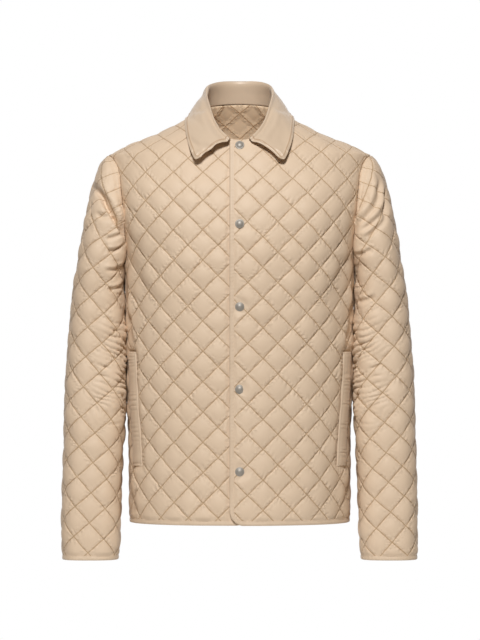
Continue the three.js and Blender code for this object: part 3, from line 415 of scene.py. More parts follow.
class Quilted:
    """One panel, cut flat, puffed between its stitching, laid on the form and joined to its lining"""

    def __init__(self, name, form, edge, lattice, divisions, shape, mirrored=False, deepest=None):
        self.form, self.edge, self.lattice, self.shape, self.deepest = form, edge, lattice, shape, deepest
        self.seed = len(name) * 7 + divisions
        shell, shell_faces = cut_cloth(self.edge, lattice, divisions)
        lining, lining_faces = cut_cloth(self.edge, lattice, LINING_DIVISIONS)
        ring = np.arange(len(self.edge))
        after = np.roll(ring, -1)
        rim = np.vstack([np.column_stack(t) for t in (
            (ring, len(shell) + ring, after), (after, len(shell) + ring, len(shell) + after)
        )])
        faces = np.vstack([shell_faces, lining_faces[:, ::-1] + len(shell), rim])
        places = np.vstack([self.worn(shell, False), self.worn(lining, True)])
        if mirrored:
            places[:, 0] *= -1
            faces = faces[:, ::-1]
        mesh = bpy.data.meshes.new(name)
        mesh.from_pydata((places * MM).tolist(), [], faces.tolist())
        lay = mesh.uv_layers.new(name="quilting")
        counts = drawn(np.vstack([shell, lining]), lattice, self.seed)
        lay.data.foreach_set("uv", counts[faces.ravel()].ravel())
        smooth = np.ones(len(faces), bool)
        smooth[len(faces) - len(rim) :] = False
        mesh.polygons.foreach_set("use_smooth", smooth)
        # Lining faces take the second material, which is painted lighter as painted light inside the neck
        lined = np.zeros(len(faces), int)
        lined[len(shell_faces) : len(faces) - len(rim)] = 1
        mesh.polygons.foreach_set("material_index", lined)
        self.piece = placed(name, mesh)

    def worn(self, flat, inner):
        """Where each place of the flat cloth comes to lie, on the outside or as lining"""
        s, t = flat[:, 0], flat[:, 1]
        z = self.form.height(s, t)
        far = far_from_edge(flat, self.edge)
        a, b = drawn(flat, self.lattice, self.seed).T
        ease, out = self.shape(s, z, t, far)
        puffed = pillow(a) * pillow(b) * (1 - np.exp(-far / SEAM_ROUND)) * ease
        if inner:
            rise = -CLOTH_THICK - LINING_PUFF * puffed
        else:
            cell = uneven(np.floor(a) * 5.3 + np.floor(b) * 11.9, np.floor(b) * 7.1, 1.7, self.seed)
            rise = puffed * PUFF * (1 + DIAMOND_CHANGE * cell)
            rise += puckers(a, b, self.seed) * np.minimum(1, far / 4) * ease
            broad = 0.8 * uneven(s, t, 60, self.seed + 5) + 0.35 * uneven(s, t, 17, self.seed + 6)
            rise += broad * np.minimum(1, far / 20)
        place = self.form.point(s, z)
        if self.deepest:
            drop, slide = deep_fold(place, self.deepest)
            held = np.clip(far / 5, 0, 1)
            rise = rise - inner * LINING_SINK * (np.abs(drop) + np.linalg.norm(slide, axis=1))
            out, place = out + drop * held, place + slide * held[:, None]
        return place + self.form.way_out(s, z) * (rise + out)[:, None]


# Finish of the shell
# A light beige woven polyester with a soft sheen. Along the stitching the colour turns darker: partly the
# thread in the grooves, partly painted shade in the grooves.
def linear(hex_colour):
    """An sRGB hex colour as linear values with alpha"""
    parts = [int(hex_colour[i : i + 2], 16) / 255 for i in (1, 3, 5)]
    return [p / 12.92 if p <= 0.04045 else ((p + 0.055) / 1.055) ** 2.4 for p in parts] + [1.0]


def add_node(tree, kind, settings=(), links=()):
    """A new node, with its settings by name and its inputs joined to sockets or set to values"""
    node = tree.nodes.new(kind)
    for key, value in dict(settings).items():
        setattr(node, key, value)
    for key, value in dict(links).items():
        if isinstance(value, bpy.types.NodeSocket):
            tree.links.new(value, node.inputs[key])
        else:
            node.inputs[key].default_value = value
    return node


def new_material(name, **sockets):
    material = bpy.data.materials.new(name)
    material.use_nodes = True
    shader = material.node_tree.nodes["Principled BSDF"]
    for key, value in sockets.items():
        shader.inputs[key.replace("_", " ")].default_value = value
    return material, material.node_tree, shader


def worked_out(tree, operation, *values):
    """The result of one sum, whose values are sockets or numbers"""
    return add_node(tree, "ShaderNodeMath", {"operation": operation}, dict(enumerate(values))).outputs[0]


def mixed(tree, share, first, second):
    """A colour between two others, which are sockets or linear values"""
    links = {"Factor": share, 6: first, 7: second}
    return add_node(tree, "ShaderNodeMix", {"data_type": "RGBA"}, links).outputs[2]


def mottled(tree, vector, scale, low, high):
    """A colour that wanders a little between two shades"""
    noise = add_node(tree, "ShaderNodeTexNoise", {}, {"Vector": vector, "Scale": scale, "Detail": 4.0})
    return mixed(tree, noise.outputs["Fac"], linear(low), linear(high))


def share_of(tree, value, most, least):
    """1 below the least value, falling smoothly to 0 at the most"""
    links = {"Value": value, "From Min": least, "From Max": most, "To Min": 1.0, "To Max": 0.0}
    return add_node(tree, "ShaderNodeMapRange", {"interpolation_type": "SMOOTHSTEP"}, links).outputs[0]


def woven(tree, shader, place, scale, strength, over=None):
    """The fine weave as a slight bump, on top of another bump if there is one"""
    weave = add_node(tree, "ShaderNodeTexNoise", {}, {"Vector": place, "Scale": scale, "Detail": 3.0})
    links = {"Height": weave.outputs["Fac"], "Strength": strength, "Distance": WEAVE_DEPTH}
    if over is not None:
        links["Normal"] = over
    bump = add_node(tree, "ShaderNodeBump", {}, links)
    tree.links.new(bump.outputs["Normal"], shader.inputs["Normal"])


def quilted_finish(name, low, high, thread_and_groove_shade):
    """Soft satin cloth, finely puckered beside its stitching, with thread colour and painted shade along its
    grooves
    """
    material, tree, shader = new_material(
        name, Roughness=0.6, Specular_IOR_Level=0.45, Sheen_Weight=0.02, Sheen_Roughness=0.6
    )
    place = add_node(tree, "ShaderNodeTexCoord").outputs["Object"]
    counts = add_node(tree, "ShaderNodeUVMap", {"uv_map": "quilting"}).outputs["UV"]
    split = add_node(tree, "ShaderNodeSeparateXYZ", {}, {"Vector": counts})
    nearest = []
    for axis in "XY":
        part = worked_out(tree, "FRACT", worked_out(tree, "ADD", split.outputs[axis], 0.5))
        nearest.append(worked_out(tree, "ABSOLUTE", worked_out(tree, "SUBTRACT", part, 0.5)))
    line = worked_out(tree, "MINIMUM", *nearest)
    # The band of darker colour, about 1.4 mm to each side of a line, is partly the thread and partly painted
    # shade in the groove
    groove = share_of(tree, line, 1.6 * GROOVE, 0.2 * GROOVE)
    colour = mixed(tree, groove, mottled(tree, place, 9.0, low, high), linear(thread_and_groove_shade))
    tree.links.new(colour, shader.inputs["Base Color"])
    links = {"Vector": place, "Scale": 190.0, "Detail": 2.5, "Distortion": 0.6}
    wrinkles = add_node(tree, "ShaderNodeTexNoise", {}, links).outputs["Fac"]
    depth = worked_out(tree, "MULTIPLY", wrinkles, share_of(tree, line, 9.5 * GROOVE, 0.6 * GROOVE))
    links = {"Height": depth, "Strength": 0.85, "Distance": PUCKER_DEPTH}
    pucker = add_node(tree, "ShaderNodeBump", {}, links).outputs["Normal"]
    woven(tree, shader, place, 420.0, 0.12, pucker)
    return material


GROOVE = 0.9 / (DIAGONAL / math.sqrt(2))
PUCKER_DEPTH = 0.0028
WEAVE_DEPTH = 0.0006
quilted_shell = quilted_finish("quilted_polyester_taffeta", "#DAC2A7", "#E2CBB1", "#B89B79")
# The lining is painted a shade lighter than the shell: painted light inside the neck
lining_painted_lighter = quilted_finish("quilted_lining_painted_lighter", "#EFD3B1", "#F5DBBB", "#C4A07A")


# Fronts
# Each front is cut in one piece from its edge to the side seam. The wearer's left one laps over the other,
# so it is lifted clear of it near the middle.
FRONT_OVERLAP = 16
CORNER_RADIUS = 24
TAPE_WIDTH = 7.0
LAP_OVER = 4.2
LAP_UNDER = -1.4
SNAP_HEIGHTS = (-58.5, -185.5, -318.5, -451.5, -584.5)
WELT_TOP, WELT_BOTTOM = -392, -578
WELT_WIDTH = 28


def lap_share(s):
    return 1 - smooth_step(22, 90, s)


def front_neck_z(s):
    x = min(abs(s), NECK_HALF_WIDTH - 1) / NECK_HALF_WIDTH
    return SIDE_NECK_Z + (FRONT_NECK_Z - SIDE_NECK_Z) * math.sqrt(1 - x * x)


def front_edge_path(inset):
    """Down the front edge, round the corner and along the hem to the side seam, set in by a distance"""
    edge, radius = -FRONT_OVERLAP + inset, CORNER_RADIUS - inset
    top = float(front_form.length_up(edge, front_neck_z(edge))[0])
    rows = [(edge, t) for t in np.linspace(top, inset + radius, 120)]
    for angle in np.linspace(math.pi, 1.5 * math.pi, 17)[1:]:
        rows.append((edge + radius + radius * math.cos(angle), inset + radius + radius * math.sin(angle)))
    side = float(front_form.quarter(HEM_Z + inset))
    return np.array(rows + [(s, inset) for s in np.linspace(edge + radius, side, 80)[1:]])


def front_outline(inset):
    side = [row for row in side_edge(front_form, ARMHOLE_FRONT) if row[1] > HEM_Z + inset + 3]
    neck = neck_edge(front_form, FRONT_NECK_Z) + [(s, front_neck_z(s)) for s in (0, -5, -10)]
    return np.vstack([front_edge_path(inset), to_pattern(front_form, side + neck)])


def near_neck(form, s, z):
    """The quilting is pressed flat beneath the collar"""
    place = form.point(s, z)
    return 0.3 + 0.7 * smooth_step(72, 96, np.hypot(place[:, 0], place[:, 1] + z / 3))


def flat_above(z):
    """The quilting lies flatter over the shoulders"""
    return 0.55 + 0.45 * smooth_step(-80, -170, z)


def hollow_of_arm(z):
    """Level with the lower half of the armhole, where the quilting lies flatter beside the seam"""
    return smooth_step(-150, -215, z) * smooth_step(UNDERARM_Z - 60, UNDERARM_Z - 20, z)


def pressed(form, s, z):
    """Where the arm rests against the side"""
    return (1 - smooth_step(8, 40, form.quarter(z) - np.abs(s))) * smooth_step(-520, -450, z)


def gathers(x, spacing, field, width=0.45, level=0.3):
    """A row of small creases, 1 along the bottom of each and below 0 between them"""
    return bell(np.sin(x * math.pi / spacing + field), width) - level


def welt_front(z):
    """How far round the stitched edge of the welt lies, which leans towards the side at its top"""
    rise = np.clip((z - WELT_BOTTOM) / (WELT_TOP - WELT_BOTTOM), 0, 1)
    return front_form.quarter(z) - 54 + 10 * rise - WELT_WIDTH


def front_shape(laps, folds):
    """How far the quilting of a front may puff, and how far its cloth stands off the form"""

    def shape(s, z, t, far=0):
        low = welt_front(z)
        welt = smooth_step(-12, 4, np.minimum(s - low, low + WELT_WIDTH - s) + 4)
        welt = welt * smooth_step(-14, 2, np.minimum(z - WELT_BOTTOM, WELT_TOP - z))
        ease = 1 - 0.8 * welt
        if laps:
            snaps = np.min([np.hypot(s, z - h) for h in SNAP_HEIGHTS], axis=0)
            ease = ease * (0.25 + 0.75 * smooth_step(6, 20, snaps))
        else:
            ease = ease * (0.25 + 0.75 * smooth_step(16, 24, s))
        edge = smooth_step(0, 10, s + FRONT_OVERLAP - 4) * smooth_step(0, 10, t - 4)
        ease = ease * (0.15 + 0.85 * edge)
        ease = ease * near_neck(front_form, s, z)
        hole = armhole_edge(front_form, np.maximum(z, UNDERARM_Z), ARMHOLE_FRONT) - s
        ease = ease * (1 - 0.6 * hollow_of_arm(z) * (1 - smooth_step(4, 40, hole)))
        ease = ease * (0.95 - 0.3 * smooth_step(190, 245, s)) * flat_above(z)
        ease = ease * (1 - 0.3 * pressed(front_form, s, z))
        out = (LAP_OVER if laps else LAP_UNDER) * lap_share(s) + creases(s, z, folds)
        within = smooth_step(-2, 1, np.minimum(s - low, low + WELT_WIDTH - s))
        out -= 3.0 * within * bell(z - WELT_TOP - 1.4, 1.6)
        level = smooth_step(-2, 2, np.minimum(z - WELT_BOTTOM, WELT_TOP - z))
        below, beside = WELT_BOTTOM - z, low - s
        tucks = gathers(s, 6.2, 2 * uneven(s, z, 20, 81))
        out -= 1.5 * tucks * within * smooth_step(0, 2, below) * (1 - smooth_step(5, 14, below))
        out -= 1.8 * bell(s - low + 0.6, 1.5) * level
        tucks = gathers(z, 6.6, 2 * uneven(z, s, 20, 82))
        strength = np.clip(0.7 + 1.2 * uneven(z, s, 14, 83), 0, 1.6)
        strength = strength * level * smooth_step(0, 2, beside) * (1 - smooth_step(5, 15, beside))
        out -= 1.5 * tucks * strength
        return ease, out

    return shape


def side_s(form, from_side, z):
    return float(form.quarter(z)) - from_side


FRONT_FOLDS = [
    (side_s(front_form, 44, -262), -262, side_s(front_form, 62, -390), -390, 11, 3.2),
    (side_s(front_form, 80, -225), -225, side_s(front_form, 125, -330), -330, 16, 1.6),
    (side_s(front_form, 30, -590), -590, side_s(front_form, 60, -660), -660, 14, 1.5),
]
FRONT_QUILTING = {"left": (12.5, 0.5, 0), "right": (10.5, -12.5, 0)}

for side, mirrored in (("left", False), ("right", True)):
    edge = front_outline(PANEL_INSET)
    shape = front_shape(not mirrored, FRONT_FOLDS)
    piece = Quilted(f"front_{side}_cloth", front_form, edge, FRONT_QUILTING[side], 21, shape, mirrored).piece
    piece.data.materials.append(quilted_shell)
    piece.data.materials.append(lining_painted_lighter)
    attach(piece, "root")
    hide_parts(f"front_{side}")


# Back
# The back is cut in one piece from side seam to side seam. Its lining shows through the neck.
def back_outline(inset):
    side = [row for row in side_edge(back_form, ARMHOLE_BACK) if row[1] > HEM_Z + inset + 3]
    half = side + neck_edge(back_form, BACK_NECK_Z)
    end = float(back_form.quarter(HEM_Z + inset))
    hem = [(s, HEM_Z + inset) for s in np.linspace(-end, end, 160)]
    other = [(-s, z) for s, z in reversed(half)]
    return to_pattern(back_form, hem + half + [(0, BACK_NECK_Z)] + other)


def back_shape(folds):
    def shape(s, z, t, far=0):
        ease = (0.15 + 0.85 * smooth_step(4, 14, t)) * near_neck(back_form, s, z)
        hole = armhole_edge(back_form, np.maximum(z, UNDERARM_Z), ARMHOLE_BACK) - np.abs(s)
        ease = ease * (1 - 0.6 * hollow_of_arm(z) * (1 - smooth_step(4, 40, hole)))
        ease = ease * (1 - 0.3 * pressed(back_form, s, z)) * flat_above(z)
        ease = ease * (0.95 - 0.3 * smooth_step(190, 245, np.abs(s)))
        return ease, creases(s, z, folds)

    return shape


BACK_FOLDS = [
    (-side_s(back_form, 40, -255), -255, -side_s(back_form, 78, -380), -380, 13, 3.0),
    (side_s(back_form, 46, -262), -262, side_s(back_form, 70, -400), -400, 12, 2.6),
    (side_s(back_form, 110, -180), -180, side_s(back_form, 150, -300), -300, 20, 1.8),
    (-side_s(back_form, 120, -190), -190, -side_s(back_form, 175, -300), -300, 22, 1.6),
    (-60, -470, 70, -440, 20, 1.5),
    (side_s(back_form, 30, -600), -600, side_s(back_form, 62, -664), -664, 14, 1.5),
]
BACK_QUILTING = (0, 6, 0)
edge, shape = back_outline(PANEL_INSET), back_shape(BACK_FOLDS)
back = Quilted("back_cloth", back_form, edge, BACK_QUILTING, 15, shape).piece
back.data.materials.append(quilted_shell)
back.data.materials.append(lining_painted_lighter)
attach(back, "root")
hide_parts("back")


# Sleeves
# Each sleeve is rolled from one piece, with its seam along the inside of the arm, and set into the armhole.
# It folds in front of the armhole, where the arm hangs, and creases lightly inside the elbow.
CUFF_Z = -732

# Height, outer edge, middle across, middle in depth, half depth where the armhole is shut, inner edge
SLEEVE_SECTIONS = (
    (-732, 290, 246, -30, 45, 200),
    (-640, 290, 245, -27, 49, 197),
    (-550, 287.5, 242, -22, 54, 193.6),
    (-466, 285.5, 239, -14, 59, 187.8),
    (-405, 282.5, 237, -8, 63, 187.4),
    (-339, 277.5, 235, -2, 69, 188.8),
    (-289, 272, 233, 2, 75, 190.7),
    (-262, 267.5, 230, 3, 79, 190.6),
    (-250, 265.5, 227, 3, 80, 190.3),
    (-220, 261, 219, 3, 62, 185),
    (-190, 255.5, 208, 2, 47, 185),
    (-160, 250.5, 206, 2, 35, 185),
    (-130, 244.5, 208, 1, 27, 185),
    (-112, 240, 211, 1, 22, 185),
    (-100, 236.3, 213, 0, 19, 185),
    (-89, 232, 215, 0, 15, 185),
    (-80, 227, 216.2, 0, 11, 185),
    (-73, 221.6, 216.8, 0, 6, 185),
    (-69, 217.8, 217, 0, 2, 185),
)
sleeve_columns = [smooth_column(SLEEVE_SECTIONS, k) for k in range(1, 6)]

# Height, and how deep the sleeve is there, ahead of its middle or behind it
CAP_DEPTHS = ((-262, 79), (-250, 80), (-220, 81), (-190, 79.5), (-160, 76), (-130, 70))
cap_depth = smooth_column(CAP_DEPTHS, 1)


def sleeve_section(z):
    """A level section of the wearer's left sleeve, which passes through both edges of the armhole"""
    outer, middle_x, middle_y, half_depth, inner = (float(column(z)) for column in sleeve_columns)
    square = 2.15 + 0.6 * float(smooth_step(-100, -190, z))
    sides = []
    for form, reach in ((front_form, ARMHOLE_FRONT), (back_form, ARMHOLE_BACK)):
        depth, inward = half_depth, middle_x - inner
        if UNDERARM_Z < z < SHOULDER_TIP_Z:
            seam = np.abs(form.point(armhole_edge(form, z, reach), z)[0] - (0, middle_y, 0))
            even = float(smooth_step(-125, -175, z))
            depth = math.hypot(seam[1], half_depth) * (1 - even) + float(cap_depth(z)) * even
            share = (1 - (seam[1] / depth) ** square) ** (1 / square)
            inward = max(middle_x - seam[0], 0.05) / max(share, 0.02)
        sides.append((depth, inward))
    (ahead, ahead_in), (behind, behind_in) = sides
    out = (outer - middle_x, 0)
    rear = [(out, (0, behind)), ((0, behind), (-behind_in, 0))]
    fore = [((-ahead_in, 0), (0, -ahead)), ((0, -ahead), out)]
    return rounded_section((middle_x, middle_y), rear + fore, square)


sleeve_form = WornForm(sleeve_section, 240, CUFF_Z, SHOULDER_TIP_Z)


def sleeve_cap(z, ahead):
    """Where the armhole's edge lies on the sleeve at a height"""
    loop = sleeve_section(z)
    along = run_of(loop)
    form, reach = (front_form, ARMHOLE_FRONT) if ahead else (back_form, ARMHOLE_BACK)
    seam = form.point(armhole_edge(form, z, reach), z)[0]
    gap = np.hypot(loop[:, 0] - abs(seam[0]), loop[:, 1] - seam[1])
    half = len(loop) // 2
    if ahead:
        return float(along[half + 1 + np.argmin(gap[half + 1 :])] - along[-1])
    return float(along[np.argmin(gap[: half + 1])])


def sleeve_outline(inset):
    levels, caps = np.linspace(CUFF_Z + inset, UNDERARM_Z, 100), armhole_levels(100)
    back_side = [(float(sleeve_form.half(z)), z) for z in levels] + [(sleeve_cap(z, False), z) for z in caps]
    front_side = [(float(sleeve_form.half(z) - sleeve_form.length(z)), z) for z in levels]
    front_side += [(sleeve_cap(z, True), z) for z in caps]
    cuff = [(s, CUFF_Z + inset) for s in np.linspace(front_side[0][0], back_side[0][0], 60)[1:-1]]
    return to_pattern(sleeve_form, cuff + back_side + [(0, SHOULDER_TIP_Z - 0.2)] + front_side[::-1])


def sleeve_s(x, z, ahead=True):
    """Where the front or the back of the sleeve passes a place across"""
    s = np.linspace(0, 1, 200) * float(sleeve_form.half(z)) * (-1 if ahead else 1)
    found = sleeve_form.point(s, np.full(200, float(z)))[:, 0]
    return float(s[np.argmin(np.abs(found - x))])


def elbow_gathers(inner, z):
    """Short creases that fan out from the inside of the elbow"""
    drift = 3.2 * uneven(z, inner * 0.7, 24, 91)
    crease = gathers(z - 0.4 * inner, 11, drift, level=0.35)
    strength = np.clip(0.75 + 1.1 * uneven(z, inner, 16, 92), 0, 1.7)
    level = smooth_step(-540, -455, z) * (1 - 0.65 * smooth_step(-390, -320, z))
    level = level * (1 - smooth_step(-300, -262, z))
    return 4.4 * crease * strength * level * (1 - smooth_step(48, 108, inner)) * smooth_step(0, 14, inner)


def deep_fold(place, path):
    """How far a steep fold, with its path as seen from the front, moves the cloth in and along, in mm"""
    x0, z0, x1, z1, width, depth = path
    along = np.array([x1 - x0, z1 - z0], float)
    length = np.linalg.norm(along)
    over = np.array([-along[1], along[0]]) / length
    gap = np.column_stack([place[:, 0] - x0, place[:, 2] - z0])
    at, side = gap @ along / length**2, gap @ over / width
    fade = smooth_step(0, 0.25, at) * smooth_step(0, 0.1, 1 - at) * (place[:, 1] < 0)
    rise = depth * (0.25 * bell(side + 1.7, 0.9) - bell(side, np.where(side < 0, 1.0, 0.45)))
    slide = -0.5 * width * bell(side - 0.8, 0.45)
    return fade * rise, (fade * slide)[:, None] * (over[0], 0, over[1])


def sleeve_shape(folds):
    def shape(s, z, t, far=0):
        inner = np.minimum(sleeve_form.half(z) - s, s - sleeve_form.half(z) + sleeve_form.length(z))
        ease = 1 - 0.7 * hollow_of_arm(z) * (1 - smooth_step(4, 45, inner))
        ease = ease * (0.15 + 0.85 * smooth_step(4, 14, t)) * flat_above(z)
        ease = ease * smooth_step(0, 14, SHOULDER_TIP_Z - z + 2)
        ease = ease * (1 - 0.75 * (1 - smooth_step(12, 36, inner)) * smooth_step(-520, -450, z))
        ease = ease * (0.9 - 0.35 * (1 - smooth_step(15, 50, np.abs(s))))
        stitched = 1.5 * bell(far - 8, 1.3) * smooth_step(-210, -165, z)
        return ease, creases(s, z, folds) - stitched - elbow_gathers(inner, z)

    return shape


def sleeve_folds(rows, ahead=True):
    """Folds whose ends are given by their places across and their heights"""
    folds = []
    for x0, z0, x1, z1, *size in rows:
        folds.append((sleeve_s(x0, z0, ahead), z0, sleeve_s(x1, z1, ahead), z1, *size))
    return folds


BEHIND_ARM = sleeve_folds([(225, -170, 205, -290, 14, 3.5)], ahead=False)
SLEEVE_FOLDS = {
    "left": BEHIND_ARM + sleeve_folds([
        (226, -100, 190, -204, 5.5, 6.0),
        (236, -118, 198, -206, 5, 5.0),
        (238, -150, 206, -212, 4, 3.6),
        (218, -222, 194, -236, 4, 3.6),
        (224, -300, 196, -312, 4.5, 3.2),
    ]),
    "right": BEHIND_ARM + sleeve_folds([
        (234, -164, 204, -178, 4, 3.6),
        (218, -208, 192, -198, 4, 4.0),
        (216, -228, 194, -222, 4, 3.4),
        (222, -258, 196, -252, 4, 3.6),
        (218, -290, 194, -280, 4, 3.6),
    ]),
}
DEEPEST_FOLD = (246, -112, 175, -228, 8.5, 14)
SLEEVE_QUILTING = {"left": (2.4, 12, 5), "right": (2.4, -5, 5)}

for side, mirrored in (("left", False), ("right", True)):
    shape, deepest = sleeve_shape(SLEEVE_FOLDS[side]), DEEPEST_FOLD if mirrored else None
    lattice = SLEEVE_QUILTING[side]
    edge = sleeve_outline(PANEL_INSET)
    piece = Quilted(f"sleeve_{side}_cloth", sleeve_form, edge, lattice, 19, shape, mirrored, deepest).piece
    piece.data.materials.append(quilted_shell)
    piece.data.materials.append(lining_painted_lighter)
    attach(piece, "root")
    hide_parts(f"sleeve_{side}")


# Collar
# The collar is one folded piece of the plain shell, with a soft interlining. Its stand is sewn round the
# neckline, and its fall lies outside, with one row of topstitching along its edge. It has no quilting.
COLLAR_THICK = 2.2
TOPSTITCH = 5.5

# How far round the neckline (0 front, 180 back), gap there, fold, outer edge, arch of the fall, clear of
# the body
COLLAR_STATIONS = (
    (14.5, 3, 14.5, -106, -46, 63, -122, -76.5, 4, 14),
    (19, 3, 18, -103.5, -43, 71.5, -118, -80, 5, 14),
    (34, 2, 27, -92.5, -33, 77.5, -108, -70.5, 4, 12),
    (54, 1.5, 38.5, -69, -14, 84, -82, -50, 1, 7.5),
    (76, 1, 47, -40, 12, 86, -46, -24, 0, 5),
    (90, 0.5, 52, 0, 36, 85.5, -3, -7, 0, 4),
    (116, 0.5, 46, 37, 51, 80.5, 52, -6, 0, 4),
    (150, 0.5, 27, 59, 57, 48, 93, -2, 0, 5),
    (180, 0.5, 0, 66, 58, 0, 104, 0, 0, 5),
)


def smooth_through(rows, steps):
    """A centripetal Catmull-Rom curve through rows of numbers, with some steps between each two of them"""
    p = np.array(rows, float)
    p = np.concatenate([2 * p[:1] - p[1:2], p, 2 * p[-1:] - p[-2:-1]])
    u = (np.arange(steps) / steps).reshape(-1, *[1] * (p.ndim - 1))
    parts = []
    for i in range(1, len(p) - 2):
        p0, p1, p2, p3 = p[i - 1 : i + 3]
        pairs = ((p0, p1), (p1, p2), (p2, p3))
        gaps = (np.linalg.norm(b - a, axis=-1, keepdims=True) for a, b in pairs)
        d0, d1, d2 = (np.maximum(gap, 1e-4) ** 0.5 for gap in gaps)
        m1 = ((p1 - p0) / d0 - (p2 - p0) / (d0 + d1) + (p2 - p1) / d1) * d1
        m2 = ((p2 - p1) / d1 - (p3 - p1) / (d1 + d2) + (p3 - p2) / d2) * d1
        ends = (2 * u**3 - 3 * u**2 + 1) * p1 + (3 * u**2 - 2 * u**3) * p2
        parts.append(ends + (u**3 - 2 * u**2 + u) * m1 + (u**3 - u**2) * m2)
    return np.concatenate(parts + [p[-2:-1]])


def outside_body(p):
    """Less than 0 inside the body form, 0 on it, and more outside"""
    depth = np.where(p[:, 1] < 0, body_front(p[:, 2]), body_back(p[:, 2]))
    square = body_square(p[:, 2])
    return (np.abs(p[:, 0]) / body_half_width(p[:, 2])) ** square + (np.abs(p[:, 1]) / depth) ** square - 1


def held_clear(p, clearance):
    """Places moved out until each lies at least its clearance away from the body form"""
    for _ in range(6):
        here = outside_body(p)
        slope = np.column_stack([outside_body(p + step) - here for step in np.eye(3) / 2]) * 2
        steep = np.linalg.norm(slope, axis=1)
        short = np.maximum(clearance - here / steep, 0)
        p = p + slope * (short / steep)[:, None]
    return p


def neckline_point(turn):
    across, ahead = math.sin(math.radians(turn)), math.cos(math.radians(turn))
    form, end = (front_form, FRONT_NECK_Z) if ahead > 0 else (back_form, BACK_NECK_Z)
    z = SIDE_NECK_Z + (end - SIDE_NECK_Z) * abs(ahead)
    at_shoulder = abs(across) > 0.9999
    s = float(form.quarter(z)) if at_shoulder else length_at_x(form, NECK_HALF_WIDTH * abs(across), z)
    place = form.point(s, z)[0] - form.way_out(np.array([s]), np.array([z]))[0] * 0.8
    return np.array([abs(place[0]) * (1 if across > -1e-9 else -1), place[1], place[2]])


def lengths_along(grid, axis):
    """How far each point of a grid lies along it from the first row or column"""
    steps = np.linalg.norm(np.diff(grid, axis=axis), axis=2)
    start = np.zeros_like(np.take(steps, [0], axis=axis))
    return np.concatenate([start, np.cumsum(steps, axis=axis)], axis=axis)


def sheet_normals(grid):
    out = np.cross(np.gradient(grid, axis=1), np.gradient(grid, axis=0))
    return out / np.linalg.norm(out, axis=2, keepdims=True)


def collar_middle(steps_round, steps_over):
    """The middle surface of the collar, from one front end to the other and from the neckline to the edge"""
    half = np.array(COLLAR_STATIONS, float)
    other = half[-2::-1] * (-1, 1, -1, 1, 1, -1, 1, 1, 1, 1) + (360, 0, 0, 0, 0, 0, 0, 0, 0, 0)
    rows = np.concatenate([half, other])
    keys = smooth_through(rows[:, [0, 1, 8, 9]], steps_round)
    fold = smooth_through(rows[:, 2:5], steps_round)
    edge = smooth_through(rows[:, 5:8], steps_round)
    neck = np.array([neckline_point(turn) for turn in keys[:, 0]])
    away = (edge - fold) * (1, 1, 0)
    away /= np.linalg.norm(away, axis=1)[:, None]
    rise = fold - neck
    stand = np.linalg.norm(rise, axis=1)[:, None]
    roll = np.minimum(4.5, stand * 0.3)
    up = np.array([0, 0, 1])
    base = neck + rise * np.minimum(0.3, keys[:, 1:2] / stand)
    under, over = fold - rise / stand * roll, fold + away * roll * 1.25 - up * roll
    lines = [base, (base + under) / 2, under, fold + away * roll * 0.6, over]
    for share in (0.2, 0.4, 0.6, 0.8, 1.0):
        bow = math.sin(share * math.pi)
        line = over + (edge - over) * share + away * bow * 2 + up * bow * keys[:, 2:3]
        lines.append(held_clear(line, keys[:, 3]))
    return smooth_through(np.array(lines), steps_over).transpose(1, 0, 2)


middle = collar_middle(14, 7)
over_edge = lengths_along(middle, 1)
from_edge = over_edge[:, -1:] - over_edge
round_edge = lengths_along(middle, 0)
from_end = np.minimum(round_edge, round_edge[-1:] - round_edge)
from_edge = np.minimum(from_edge, from_end)
fall = smooth_step(0.35, 0.55, over_edge / over_edge[:, -1:])
rolled = 0.5 * bell(from_edge - 2.4, 1.7) - 0.75 * bell(from_edge - TOPSTITCH, 1.1)
ripple = 0.18 * np.sin(round_edge * 2 * math.pi / 6.5 + 3 * uneven(round_edge, over_edge, 20, 31))
rise = rolled + ripple * bell(from_edge - TOPSTITCH, 3)
broad = 1.4 * uneven(round_edge, over_edge * 0.6, 30, 32) + 0.25 * uneven(round_edge, over_edge, 12, 33)
rise += broad * (0.5 + fall)
places = middle - sheet_normals(middle) * rise[..., None]
columns, rows = places.shape[:2]
numbers = np.arange(columns * rows).reshape(columns, rows)
corners = [numbers[:-1, :-1], numbers[1:, :-1], numbers[1:, 1:], numbers[:-1, 1:]]
faces = np.stack(corners, axis=-1).reshape(-1, 4)
mesh = bpy.data.meshes.new("collar_cloth")
mesh.from_pydata((places.reshape(-1, 3) * MM).tolist(), [], faces.tolist())
mesh.attributes.new("from_edge", "FLOAT", "POINT").data.foreach_set("value", from_edge.ravel())
collar = placed("collar_cloth", mesh)
thick = collar.vertex_groups.new(name="thick")
rounded = np.sqrt(np.clip(from_edge / 1.6, 0.12, 1)).ravel()
for level in range(1, 11):
    thick.add(np.nonzero(np.round(rounded * 10).astype(int) == level)[0].tolist(), level / 10, "REPLACE")
wall = collar.modifiers.new("two_layers", "SOLIDIFY")
wall.thickness, wall.offset, wall.vertex_group = COLLAR_THICK * MM, 0, "thick"
collar.modifiers.new("broad_faces_first", "WEIGHTED_NORMAL").weight = 90
mesh.polygons.foreach_set("use_smooth", np.ones(len(faces), bool))

plain_shell, tree, shader = new_material(
    "plain_polyester_taffeta", Roughness=0.42, IOR=1.5, Sheen_Weight=0.15, Sheen_Roughness=0.4
)
place = add_node(tree, "ShaderNodeTexCoord").outputs["Object"]
far = add_node(tree, "ShaderNodeAttribute", {"attribute_name": "from_edge"}).outputs["Fac"]
